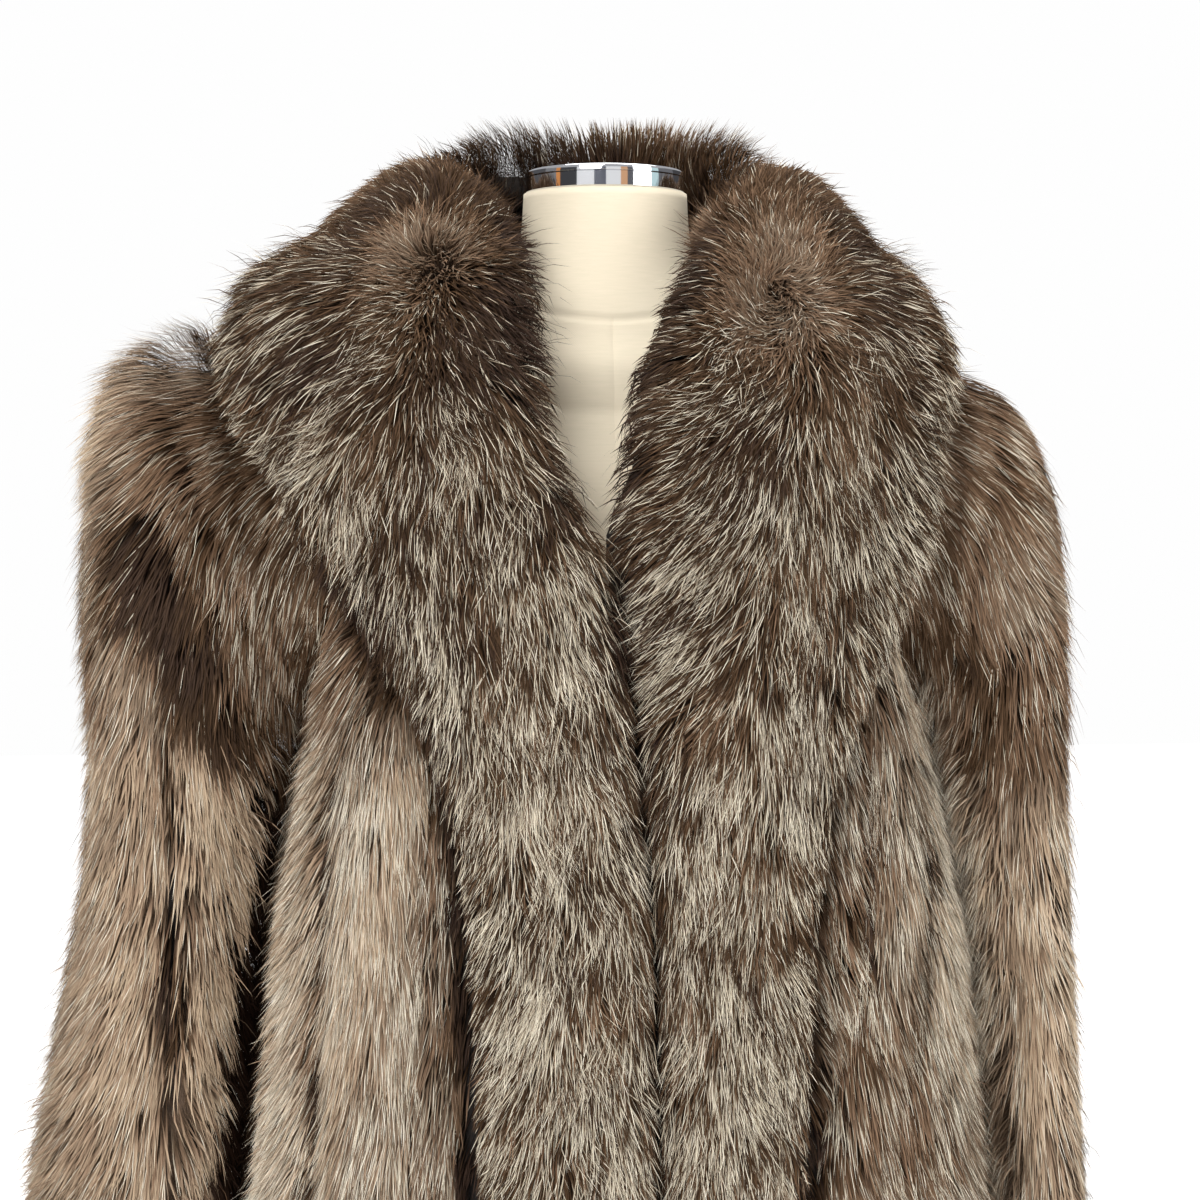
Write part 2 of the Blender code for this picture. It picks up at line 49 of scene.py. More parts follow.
# ---- the coat's cut: the same sizes as its solids ----------------------------------------------
SEAM = 0.0004                # between two pieces that are sewn together
PILE = 0.030                 # fur standing over the leather of the body
PILE_SIDE = 0.015            # fur pressed under the arm
PILE_COVERED = 0.008         # fur pressed flat under the collar and along the armhole's seam
PELT_GROOVE = 0.014          # depth of the parting between two pelts
ROUNDNESS = 2.3              # superellipse power of the body's rings
COLLAR_LIFT = 0.0060         # underside of the collar over the body's fur
FRONT_OVERLAP = 0.007        # the wearer's right band laps over the left one
EDGE_GAP = 1.6               # room along a front's edges, in widths of a seam
NECK_TURN = 56               # where the front edges reach the neckline, in degrees from the front
FRONT_PELTS = 6
BACK_PELTS = 12
ARMHOLE_ROWS = 12
SLEEVE_COLUMNS = 2 * ARMHOLE_ROWS
COLLAR_ARCH = 10

Ring = namedtuple("Ring", "z_front z_side z_back half_right half_left front back")
BODY = (
    Ring(0.500, 0.500, 0.500, 0.278, 0.295, 0.200, 0.195),
    Ring(0.660, 0.660, 0.660, 0.262, 0.279, 0.187, 0.184),
    Ring(0.820, 0.820, 0.820, 0.247, 0.265, 0.174, 0.172),
    Ring(0.970, 0.970, 0.970, 0.231, 0.247, 0.162, 0.161),
    Ring(1.112, 1.112, 1.112, 0.208, 0.218, 0.152, 0.153),
    Ring(1.205, 1.208, 1.210, 0.213, 0.212, 0.144, 0.149),
    Ring(1.285, 1.292, 1.298, 0.232, 0.216, 0.132, 0.144),
    Ring(1.330, 1.360, 1.366, 0.250, 0.216, 0.114, 0.136),
    Ring(1.362, 1.389, 1.404, 0.176, 0.160, 0.098, 0.118),
    Ring(1.386, 1.414, 1.432, 0.096, 0.094, 0.086, 0.094),
)
UNDERARM, SHOULDER_TIP, NECKLINE = 4, 7, 9
ARMHOLE_WIDTH = radians(37)  # half of the armhole, as a turn round the body

# Turn of the front edge from the centre front: where the fronts close, and above that the V.
Edge = namedtuple("Edge", "level closing opening")
FRONT_EDGE = (
    Edge(0.0, 3.5, 0.0),
    Edge(3.0, 3.0, 0.0),
    Edge(4.0, 0.5, 0.0),
    Edge(5.4, -3.5, 0.5),
    Edge(6.0, -5.5, 7.5),
    Edge(7.0, -6.0, 10.5),
    Edge(8.0, -4.0, 19.0),
    Edge(8.6, -2.0, 32.0),
    Edge(9.0, 0.0, NECK_TURN),
)

# The collar from the hem up a front edge and round to the centre back, section by section: from an
# edge point to an outer point on the body's leather, with the height of the arch over it.
Section = namedtuple(
    "Section",
    "edge level turn_right turn_left out_level rise taper upright crest lap_in lap_out",
)
COLLAR = (
    Section(0, 0.0, 17, 20, 0.00, 0.050, 0.10, 0.00, 0.000, 0.002, 0.012),
    Section(0, 1.0, 18, 21, 1.00, 0.052, 0.10, 0.00, 0.000, 0.002, 0.012),
    Section(0, 2.0, 20, 23, 2.00, 0.054, 0.10, 0.00, 0.000, 0.002, 0.012),
    Section(0, 3.0, 22, 26, 3.00, 0.056, 0.10, 0.00, 0.000, 0.002, 0.013),
    Section(0, 3.7, 26, 31, 3.60, 0.058, 0.10, 0.00, 0.000, 0.002, 0.015),
    Section(0, 4.3, 33, 38, 4.20, 0.060, 0.10, 0.00, 0.000, 0.002, 0.018),
    Section(0, 4.9, 41, 44, 4.80, 0.063, 0.10, 0.02, 0.000, 0.003, 0.023),
    Section(0, 5.4, 48, 49, 5.30, 0.067, 0.10, 0.04, 0.000, 0.006, 0.030),
    Section(9, 6.0, 50, 50, 5.80, 0.072, 0.10, 0.08, 0.000, 0.020, 0.032),
    Section(12, 7.0, 53, 52, 6.30, 0.080, 0.18, 0.14, 0.000, 0.032, 0.028),
    Section(20, 8.0, 60, 59, 6.80, 0.090, 0.26, 0.25, 0.000, 0.032, 0.022),
    Section(33, 8.6, 73, 71, 7.25, 0.098, 0.38, 0.40, 0.000, 0.028, 0.018),
    Section(NECK_TURN, 9.0, 90, 90, 7.60, 0.106, 0.46, 0.55, 0.013, 0.020, 0.018),
    Section(90, 9.0, 106, 106, 7.25, 0.107, 0.46, 0.65, 0.022, 0.020, 0.020),
    Section(120, 9.0, 126, 126, 6.50, 0.102, 0.50, 0.70, 0.040, 0.024, 0.014),
    Section(150, 9.0, 152, 152, 5.85, 0.096, 0.54, 0.75, 0.055, 0.026, 0.010),
    Section(180, 9.0, 180, 180, 5.60, 0.092, 0.56, 0.75, 0.058, 0.026, 0.010),
)

Cuff = namedtuple("Cuff", "in_x in_z out_x out_z depth behind")
SLEEVE_RIGHT = (
    Cuff(0.225, 1.102, 0.288, 1.378, 0.094, 0.002),
    Cuff(0.232, 1.088, 0.332, 1.368, 0.101, 0.002),
    Cuff(0.237, 1.072, 0.360, 1.327, 0.110, 0.002),
    Cuff(0.242, 1.050, 0.374, 1.260, 0.110, 0.004),
    Cuff(0.248, 1.015, 0.379, 1.185, 0.108, 0.006),
    Cuff(0.254, 0.965, 0.377, 1.095, 0.106, 0.006),
    Cuff(0.260, 0.905, 0.384, 0.995, 0.104, 0.004),
    Cuff(0.266, 0.840, 0.398, 0.895, 0.102, 0.002),
    Cuff(0.274, 0.770, 0.414, 0.795, 0.100, 0.000),
    Cuff(0.282, 0.700, 0.424, 0.705, 0.098, 0.000),
)
SLEEVE_LEFT = (
    Cuff(0.239, 1.102, 0.252, 1.374, 0.094, 0.004),
    Cuff(0.246, 1.088, 0.286, 1.358, 0.102, 0.007),
    Cuff(0.251, 1.072, 0.314, 1.316, 0.112, 0.010),
    Cuff(0.257, 1.050, 0.329, 1.252, 0.115, 0.014),
    Cuff(0.264, 1.015, 0.335, 1.180, 0.116, 0.018),
    Cuff(0.271, 0.965, 0.337, 1.090, 0.116, 0.020),
    Cuff(0.278, 0.905, 0.342, 0.990, 0.114, 0.020),
    Cuff(0.283, 0.840, 0.348, 0.890, 0.112, 0.018),
    Cuff(0.289, 0.770, 0.357, 0.790, 0.110, 0.016),
    Cuff(0.294, 0.700, 0.364, 0.702, 0.108, 0.014),
)
SLEEVE_PILE_IN = 0.012
UNDERARM_PILE = 0.020
SLEEVE_PILE_OUT = 0.028
SLEEVE_PILE_FACE = 0.026
SLEEVE_GROOVE = 0.015
SHOULDER_EASE = 5
SLEEVE_RINGS = 14
SEAM_ROWS = 4                # rows of the fur's grid between the armhole and the first ring

Torso = namedtuple("Torso", "z_front z_side z_back half front back")
TORSO = (
    Torso(0.800, 0.800, 0.800, 0.168, 0.108, 0.118),
    Torso(0.880, 0.880, 0.880, 0.176, 0.114, 0.126),
    Torso(0.960, 0.960, 0.960, 0.158, 0.105, 0.108),
    Torso(1.040, 1.040, 1.040, 0.128, 0.094, 0.088),
    Torso(1.130, 1.130, 1.130, 0.145, 0.112, 0.100),
    Torso(1.205, 1.205, 1.210, 0.162, 0.126, 0.112),
    Torso(1.280, 1.290, 1.295, 0.168, 0.108, 0.118),
    Torso(1.325, 1.345, 1.350, 0.178, 0.086, 0.112),
)
NECK_RADIUS = 0.0590
NECK = (
    Torso(1.404, 1.424, 1.436, 0.0690, 0.0690, 0.0690),
    Torso(1.436, 1.444, 1.450, 0.0610, 0.0610, 0.0610),
    Torso(1.484, 1.484, 1.484, NECK_RADIUS, NECK_RADIUS, NECK_RADIUS),
)
SHOULDER_GAP = 0.0006
CHEST_GAP = 0.012
CAP_RADIUS = 0.0575
CAP_TOP = 1.500
POLE_RADIUS = 0.0140
BASE_RADIUS = 0.185
BASE_HEIGHT = 0.014
FORM_FLOOR = 0.800

# ---- the fur -----------------------------------------------------------------------------------
HAIR_DEPTH = 0.015           # how far under the fur's outline the hairs leave the underfur
SLEEVE_HAIR_DEPTH = 0.019
UNDERFUR_DROP = 0.0015       # how far the underfur's surface lies under the roots of a field
BLADE_DROP = 0.002           # how far under them the blades start
LEAST_ROOT = 0.0025          # height of the roots over the leather where the fur lies flat
COLLAR_CORE = 0.82           # size of the collar's pelt, as a share of that of the fur round it
COLLAR_WALL = 0.05           # its thickness, as a share of the same size
TALLEST = 0.046              # greatest height of a hair's tip over its root
HAIR = 0.062                 # length of the hairs of the body and the sleeves
HAIR_COVERED = 0.032         # those under the collar and along the armhole's seam
HAIR_INSIDE = 0.048          # those on the inner side of a sleeve
COLLAR_HAIR = 0.046
CREST_HAIR = 0.063           # behind the neck
OPENING_HAIR = 0.027         # on the collar's inner side, by the neck
WAVER = radians(4)           # how far the hairs of a pelt sway from its lean
PER_CLUMP = 14               # hairs in a clump
CLUMP = 0.0045               # its spread
STRAY = 0.06                 # share of the hairs that stand out from the rest
HAIR_MAP = 0.002             # half of a hair's width in its UV map
HIPS = 3                     # the level of the body where the tables give its partings
ELBOW = 5                    # and the row of a sleeve's table where they give the sleeve's

# Colours of one hair from its root to its tip, and of the underfur there: the plain hairs from the
# darkest to the palest, and then the frosted ones, which are dark below and pale above.
Tone = namedtuple("Tone", "root middle tip underfur")
TONES = (
    Tone("#0a0604", "#150d08", "#231711", "#0c0704"),
    Tone("#140e0b", "#2a1e18", "#44352c", "#1b1410"),
    Tone("#160e08", "#2a1e14", "#413123", "#1e150c"),
    Tone("#21160c", "#412f1f", "#5b4634", "#2e2014"),
    Tone("#37281b", "#665040", "#876d57", "#4e3b2c"),
    Tone("#332920", "#5c4d3e", "#7c6c5b", "#483c32"),
    Tone("#5c4a3a", "#826a56", "#a08a73", "#6a5646"),
    Tone("#755f4c", "#99816a", "#bba68c", "#88705b"),
    Tone("#857160", "#ad9883", "#d2c2ac", "#9a8672"),
    Tone("#231811", "#524334", "#cabda5", "#35251a"),
    Tone("#32271e", "#716352", "#e8dfca", "#35251a"),
    Tone("#5a4a3c", "#9c8b75", "#f6eedc", "#35251a"),
)
FROSTED = 9                  # the first of the frosted tones

# How the collar's hairs lie, at five places across it from its inner edge to its outer one, for
# sections of the collar: degrees from straight outward, turning toward the hem. The next five
# columns are the plain hairs' tones, and the last five the share of frosted hairs.
Lay = namedtuple("Lay", "at a0 a1 a2 a3 a4 t0 t1 t2 t3 t4 f0 f1 f2 f3 f4")
# The dark inner edge, t0 with little frost in f0, from the chest up, is painted shade: in the gap
# where the two halves part below the V, and by the neck, where the collar stands away from it.
LAY_RIGHT = (
    Lay(0, 110, 104, 90, 72, 72, 2.3, 2.6, 2.6, 2.4, 1.4, 0.24, 0.36, 0.38, 0.34, 0.10),
    Lay(2, 115, 108, 90, 70, 72, 2.3, 2.6, 2.6, 2.4, 1.4, 0.24, 0.36, 0.38, 0.34, 0.10),
    Lay(3, 110, 100, 82, 62, 70, 2.3, 2.6, 2.6, 2.4, 1.4, 0.24, 0.36, 0.38, 0.34, 0.10),
    Lay(4, 112, 105, 90, 74, 72, 1.6, 2.6, 2.6, 2.2, 1.3, 0.12, 0.36, 0.40, 0.34, 0.10),
    Lay(5, 115, 108, 92, 74, 70, 1.3, 2.6, 2.6, 1.7, 1.2, 0.10, 0.35, 0.40, 0.24, 0.08),
    Lay(6, 115, 108, 92, 72, 66, 1.3, 2.4, 2.4, 1.3, 0.9, 0.08, 0.32, 0.34, 0.15, 0.05),
    Lay(7, 120, 105, 86, 66, 60, 1.4, 2.3, 2.3, 1.3, 0.8, 0.06, 0.26, 0.31, 0.13, 0.04),
    Lay(8, 135, 105, 72, 48, 46, 1.4, 2.2, 2.3, 2.3, 0.9, 0.04, 0.17, 0.27, 0.22, 0.05),
    Lay(9, 165, 112, 24, 4, 0, 1.2, 1.6, 2.0, 2.3, 1.9, 0.03, 0.06, 0.20, 0.22, 0.14),
    Lay(10, 170, 125, 8, 0, -5, 1.0, 1.4, 1.7, 2.4, 2.1, 0.02, 0.03, 0.10, 0.20, 0.14),
    Lay(11, -170, -115, -38, -10, 0, 0.9, 1.8, 2.0, 2.7, 2.3, 0.01, 0.02, 0.05, 0.15, 0.14),
    Lay(12, -60, -75, -40, -10, 0, 0.8, 3.0, 3.4, 2.8, 2.4, 0.00, 0.02, 0.04, 0.09, 0.10),
    Lay(13, 0, -40, -25, -5, 0, 0.8, 2.8, 3.2, 2.8, 2.4, 0.00, 0.02, 0.04, 0.07, 0.10),
    Lay(14.6, 40, 30, 10, 0, 0, 0.8, 2.6, 2.8, 2.8, 2.6, 0.00, 0.04, 0.08, 0.14, 0.15),
    Lay(16, 35, 35, 15, 0, 0, 0.8, 2.8, 3.0, 2.8, 2.6, 0.00, 0.05, 0.10, 0.17, 0.17),
)
LAY_LEFT = (
    Lay(0, 95, 92, 88, 78, 68, 2.3, 2.6, 2.6, 2.4, 1.5, 0.24, 0.36, 0.38, 0.34, 0.12),
    Lay(2, 98, 92, 88, 80, 70, 1.5, 2.6, 2.6, 2.4, 1.5, 0.12, 0.35, 0.38, 0.34, 0.12),
    Lay(3, 95, 92, 92, 78, 68, 1.2, 2.6, 2.6, 2.4, 1.5, 0.10, 0.35, 0.38, 0.33, 0.12),
    Lay(4, 108, 98, 92, 88, 80, 0.8, 2.5, 2.6, 2.6, 2.4, 0.06, 0.33, 0.36, 0.34, 0.28),
    Lay(5, 145, 128, 96, 82, 68, 0.6, 2.3, 2.4, 2.6, 2.6, 0.04, 0.29, 0.30, 0.32, 0.30),
    Lay(6, 148, 140, 108, 72, 58, 0.6, 2.2, 2.3, 2.5, 2.4, 0.04, 0.26, 0.27, 0.29, 0.22),
    Lay(7, 152, 142, 98, 62, 50, 0.8, 2.1, 2.3, 2.3, 1.9, 0.04, 0.20, 0.24, 0.25, 0.15),
    Lay(8, 150, 150, 92, 55, 42, 1.0, 2.1, 2.2, 2.3, 1.7, 0.04, 0.14, 0.19, 0.26, 0.15),
    Lay(9, 165, 165, 80, 40, 20, 1.2, 1.8, 2.3, 2.2, 1.3, 0.03, 0.08, 0.15, 0.25, 0.16),
    Lay(10, 185, 185, 0, 5, 0, 1.4, 1.5, 2.0, 2.2, 1.3, 0.02, 0.03, 0.07, 0.17, 0.17),
    Lay(11, 190, -120, -30, -8, 0, 1.2, 2.5, 2.2, 2.6, 1.7, 0.01, 0.02, 0.04, 0.12, 0.14),
    Lay(12, 0, -50, -38, -10, 5, 1.2, 2.8, 2.8, 2.6, 2.3, 0.00, 0.03, 0.04, 0.07, 0.10),
    Lay(13, 0, -15, -12, 0, 0, 1.6, 3.0, 3.2, 2.8, 2.4, 0.00, 0.04, 0.05, 0.07, 0.10),
    Lay(15, 18, 15, 5, 0, 0, 1.8, 3.4, 3.4, 2.9, 2.6, 0.01, 0.07, 0.08, 0.12, 0.14),
    Lay(16, -30, -30, -10, 0, 0, 1.0, 3.0, 3.2, 2.8, 2.6, 0.00, 0.06, 0.10, 0.17, 0.17),
)

# Where the fur stands out in each half of the collar, in sections: from where on the crest behind
# the neck is full, where the tuft on the shoulder is and how much higher it stands, and up to where
# the outer rim lies low; and how low the inner edge lies beside the shoulder.
Half = namedtuple("Half", "crest tuft tuft_rise rim edge")
HALF_RIGHT = Half(14.7, 12, 0.85, 8.5, 0.0)
HALF_LEFT = Half(14.15, 12.4, 1.1, 5, 1.0)

# Pelts of the body. Each reaches to a parting, given in columns of pelts from the panel's first
# edge at the level of the hips, with its shift for each level above that, its tone and share of
# frost, the lean of its hairs at its two edges, in degrees away from straight down, and how far the
# painted shade of the parting reaches.
Pelt = namedtuple("Pelt", "to shift tone frost lean_first lean_last parting")
FRONT_RIGHT_PELTS = (
    Pelt(1.62, 0.05, 2.4, 0.25, 0, 0, 0.30),
    Pelt(2.30, 0.10, 4.6, 0.26, 0, 2, 0.12),
    Pelt(3.45, 0.20, 7.2, 0.32, -2, 10, 0.12),
    Pelt(4.85, 0.00, 7.2, 0.32, 14, 28, 0.20),
    # The side under the arm is painted dark: painted shadow of the sleeve.
    Pelt(6.00, 0.00, 1.6, 0.00, 26, 14, 0.10),
)
FRONT_LEFT_PELTS = (
    Pelt(1.45, 0.10, 3.0, 0.30, 0, 8, 0.20),
    Pelt(2.40, 0.72, 4.2, 0.28, 12, 16, 0.24),
    Pelt(3.30, 1.00, 5.4, 0.32, -2, 10, 0.24),
    Pelt(6.00, 0.00, 7.2, 0.38, 4, 16, 0.10),
)
# The last tone, on the wearer's right side under the arm, is painted dark: painted shadow of the
# sleeve.
BACK_PELT_TONES = (5.4, 6.2, 4.8, 6.6, 5.0, 6.4, 4.6, 6.6, 5.0, 6.4, 4.8, 1.6)

# Pelts of a sleeve, round it from its outermost line by the front, in columns of its solid.
SLEEVE_RIGHT_PELTS = (
    Pelt(1.2, 0.0, 5.8, 0.10, 24, 26, 0.10),
    Pelt(6.60, 0.3, 6.1, 0.10, 27, 14, 0.66),
    Pelt(8.95, -0.20, 6.7, 0.08, -5, 2, 0.12),
    # The inner side, facing the body, is painted near black: painted shadow in the gap between the
    # sleeve and the body.
    Pelt(14.0, 0.0, 0.4, 0.00, 6, 2, 0.10),
    Pelt(18.0, 0.0, 5.6, 0.14, -2, 10, 0.20),
    Pelt(22.0, 0.0, 5.2, 0.14, 0, 14, 0.20),
    Pelt(24.0, 0.0, 5.8, 0.12, 14, 22, 0.10),
)
SLEEVE_LEFT_PELTS = (
    Pelt(3.0, 0.0, 2.8, 0.10, 5, 8, 0.20),
    Pelt(7.9, 0.0, 6.0, 0.18, 12, 6, 0.08),
    Pelt(14.0, 0.0, 7.0, 0.24, 4, 0, 0.10),
    Pelt(18.0, 0.0, 5.6, 0.14, -2, 10, 0.20),
    Pelt(22.0, 0.0, 5.2, 0.14, 0, 14, 0.20),
    Pelt(24.0, 0.0, 3.2, 0.12, 2, 4, 0.10),
)

# How much higher the hairs stand on the outer side of a sleeve: toward its cuff, over the top of
# the shoulder and on its seam there.
Swell = namedtuple("Swell", "cuff top seam")
SWELL_RIGHT = Swell(0.9, 0.7, 0.8)
SWELL_LEFT = Swell(0.4, -0.2, 0.0)

# Lean of a sleeve's hairs near the armhole, in degrees from straight down toward the outer side,
# row by row: over the outer part of the shoulder, and toward the body.
Shoulder = namedtuple("Shoulder", "outer inner")
SHOULDER_LEANS = (
    Shoulder(62, 22),
    Shoulder(56, 14),
    Shoulder(44, 6),
    Shoulder(32, 4),
)

# Dark and pale patches: place along a piece and in its columns, reach along and across, and the
# tone and frost there. Along the body it is in levels, and along a sleeve in the rows of its table.
Patch = namedtuple("Patch", "along column reach columns tone frost")
PATCHES_BACK = (Patch(0.0, 11.5, 1.0, 0.9, 5.2, 0.26),)
PATCHES_FRONT_RIGHT = (
    Patch(0.0, 5.5, 1.0, 0.9, 5.4, 0.24),
    Patch(2.4, 2.55, 1.8, 0.36, 5.6, 0.26),
    Patch(3.6, 4.9, 0.5, 0.6, 5.6, 0.20),
)
PATCHES_FRONT_LEFT = (
    # Painted light: paler where the front's side turns away from the key light.
    Patch(3.4, 5.2, 0.9, 1.0, 8.0, 0.45),
    Patch(1.6, 4.4, 0.9, 1.8, 4.8, 0.20),
    Patch(4.7, 5.4, 1.1, 1.2, 7.4, 0.35),
    Patch(2.0, 2.7, 1.0, 0.8, 3.6, 0.24),
)
PATCHES_RIGHT = (
    Patch(0.9, 6.0, 1.7, 6.0, 3.5, 0.09),
    Patch(1.3, 1.6, 1.0, 1.9, 7.0, 0.12),
    Patch(0.2, 8.2, 0.5, 3.0, 3.7, 0.16),
    Patch(0.7, 5.0, 0.3, 0.7, 4.3, 0.24),
    Patch(1.15, 5.4, 0.5, 1.0, 1.4, 0.02),
    Patch(1.8, 4.9, 0.65, 1.0, 1.2, 0.02),
    Patch(1.8, 6.5, 0.6, 1.0, 1.2, 0.01),
    Patch(2.1, 7.7, 0.6, 0.9, 1.6, 0.02),
    Patch(3.4, 3.0, 0.5, 1.5, 2.9, 0.06),
    Patch(6.3, 5.0, 1.2, 1.0, 6.6, 0.12),
    # Painted shade: a deeper dark in the split beside the parting at column 6.6.
    Patch(5.7, 6.8, 0.6, 0.6, 0.2, 0.0),
)
PATCHES_LEFT = (
    Patch(0.9, 6.0, 2.1, 6.0, 3.6, 0.12),
    Patch(0.4, 7.6, 0.5, 0.8, 2.2, 0.05),
    Patch(1.6, 4.8, 0.8, 1.2, 4.6, 0.16),
    Patch(2.3, 7.4, 0.8, 1.6, 2.4, 0.08),
    Patch(3.1, 6.0, 0.9, 2.2, 3.2, 0.10),
    Patch(2.5, 9.0, 0.5, 1.2, 2.4, 0.06),
    # Painted light: paler patches on the inner side, which faces the body and lies in shade, here
    # and at column 9.7 below.
    Patch(0.6, 10.6, 1.4, 1.4, 7.6, 0.35),
    Patch(4.3, 11.2, 2.3, 2.3, 8.0, 0.40),
    Patch(5.9, 6.3, 1.0, 0.9, 7.0, 0.22),
    Patch(7.0, 4.6, 1.2, 1.1, 7.4, 0.24),
    # Painted light on the inner side as well.
    Patch(6.4, 9.7, 2.4, 1.2, 7.9, 0.40),
    Patch(7.2, 7.9, 0.7, 0.8, 5.4, 0.16),
)


# ---- curves ------------------------------------------------------------------------------------
def on_curve(table, at):
    """Rows of values on a smooth curve through a table's rows, which are one unit apart."""
    rows = np.array(table, float)
    last = len(rows) - 1
    at = np.clip(at, 0, last)
    k = np.minimum(at.astype(int), last - 1)
    t = (at - k)[..., None]
    a, b = rows[np.maximum(k - 1, 0)], rows[k]
    c, d = rows[k + 1], rows[np.minimum(k + 2, last)]
    return b + 0.5 * t * (c - a + t * (2 * a - 5 * b + 4 * c - d + t * (3 * (b - c) + d - a)))


def soft(t):
    """0 below 0, 1 above 1, and a smooth step between."""
    t = np.clip(t, 0, 1)
    return t * t * (3 - 2 * t)


def blend(value, goal, share):
    """Value moved toward a goal by a share of the way."""
    return value + (goal - value) * share


def unit(v):
    """Vectors of length one the same way."""
    return v / np.maximum(np.linalg.norm(v, axis=-1, keepdims=True), 1e-9)


def superellipse(side, face):
    """Radius of a superellipse of size one, by the sine and cosine of a turn."""
    return (abs(side) ** ROUNDNESS + abs(face) ** ROUNDNESS) ** (-1 / ROUNDNESS)


def ring_points(front_z, side_z, back_z, half, front, back, turn):
    """Points of a ring at turns from the centre front, positive to the wearer's left."""
    side, face = np.sin(turn), np.cos(turn)
    reach = superellipse(side, face)
    depth = np.where(face > 0, front, back)
    level = np.where(face > 0, front_z, back_z)
    height = side_z + (level - side_z) * face * face
    return np.stack([half * reach * side, -depth * reach * face, height], -1)


# ---- the leather of the coat's body ------------------------------------------------------------
def leather(turn, level):
    """Points of the leather at turns from the centre front, for levels, the rows of its table."""
    turn, level = np.broadcast_arrays(turn, level)
    z_front, z_side, z_back, right, left, front, back = np.moveaxis(on_curve(BODY, level), -1, 0)
    half = np.where(np.sin(turn) > 0, left, right)
    return ring_points(z_front, z_side, z_back, half, front, back, turn)


def leather_normal(turn, level):
    step = 0.02
    low, high = np.maximum(level - step, 0.0), np.minimum(level + step, NECKLINE)
    along = leather(turn, high) - leather(turn, low)
    across = leather(turn + step, level) - leather(turn - step, level)
    return unit(np.cross(across, along))


def front_edge(level, side):
    """Turn of a front's edge on one side, -1 the wearer's right and +1 the left."""
    levels = [e.level for e in FRONT_EDGE]
    closing = np.interp(level, levels, [e.closing for e in FRONT_EDGE])
    opening = np.interp(level, levels, [e.opening for e in FRONT_EDGE])
    return side * np.radians(closing * side + opening)


def armhole_turn(level):
    """How far the armhole's edge is from the side line, as a turn; 0 outside the armhole."""
    t = np.clip((level - UNDERARM) / (SHOULDER_TIP - UNDERARM), 0, 1)
    return ARMHOLE_WIDTH * np.sin(pi * t) ** 0.75


def turn_from_front(turn):
    """How far a turn is from the centre front, on either side."""
    return abs(np.arctan2(np.sin(turn), np.cos(turn)))


def near_armhole(turn, level):
    """0 on the edge of the armhole, 1 well away from it."""
    beside = abs(pi / 2 - turn_from_front(turn)) - armhole_turn(level)
    beyond = np.maximum(np.maximum(UNDERARM - level, level - SHOULDER_TIP), 0)
    return soft(np.hypot(np.maximum(beside, 0) / radians(11), beyond / 0.55))


def under_collar(turn, level):
    """1 where the collar covers the body, 0 where it doesn't."""
    away = turn_from_front(turn)
    fronts = [s for s in COLLAR if s.turn_left <= 90]
    backs = [s for s in COLLAR if s.turn_left >= 90]
    levels = [s.out_level for s in fronts]
    left = np.interp(level, levels, [radians(s.turn_left) for s in fronts])
    right = np.interp(level, levels, [radians(s.turn_right) for s in fronts])
    edge = np.where(np.sin(turn) > 0, left, right)
    in_front = 1 - soft((away - edge - radians(2)) / radians(9))
    edge = np.interp(away, [radians(s.turn_left) for s in backs], [s.out_level for s in backs])
    return np.where(away < pi / 2, in_front, 1 - soft((edge - level - 0.15) / 0.45))


def body_pile(turn, level):
    """Height of the fur over the leather, without the pelts' partings."""
    under_arm = soft((abs(np.sin(turn)) - 0.72) / 0.22) * soft((6.2 - level) / 1.5)
    pile = PILE + (PILE_SIDE - PILE) * under_arm
    pressed = np.maximum(under_collar(turn, level), 1 - near_armhole(turn, level))
    return blend(pile, PILE_COVERED, pressed)


def armhole_level(row):
    """Level of the body at a row of points up the armhole's edge."""
    t = row / ARMHOLE_ROWS
    return UNDERARM + (SHOULDER_TIP - UNDERARM) * (t - 0.09 * np.sin(2 * pi * t))


def seam_turn(level):
    """Half of a seam's width, as a turn round the body."""
    return 0.5 * SEAM / leather(pi / 2, level)[..., 0]


# ---- fields of fur -----------------------------------------------------------------------------
# A field is a grid of points over one piece of the coat: the leather's inner face, the roots of
# the hairs and the fur's outline. With it go the way the hairs lie and how unruly they are, their
# tone, share of frost, length, height as a share of the outline's, and number. A closed field goes
# all round, and its last column is its first one again.
Field = namedtuple("Field", "skin root crown lay mess tone frost length rise weight closed")


def tangents(points):
    """Change of a grid's points for one step along its rows and along its columns."""
    return np.gradient(points, axis=0), np.gradient(points, axis=1)


def comb(angle, ahead, beside):
    """Directions at an angle from one tangent of a grid toward another one, both made square."""
    ahead = unit(ahead)
    beside = unit(beside - ahead * (beside * ahead).sum(-1, keepdims=True))
    return ahead * np.cos(angle)[..., None] + beside * np.sin(angle)[..., None]


def hang(along, across, lean, side):
    """Directions on a surface that look turned by a lean from straight down toward one side, seen
    from the front or the back."""
    facing = unit(np.cross(along, across))
    down = np.stack([side * np.sin(lean), 0 * lean, -np.cos(lean)], -1)
    depth = facing[..., 1]
    down[..., 1] = -(down * facing).sum(-1) * depth / np.maximum(depth * depth, 0.25)
    return unit(down - facing * (down * facing).sum(-1, keepdims=True))


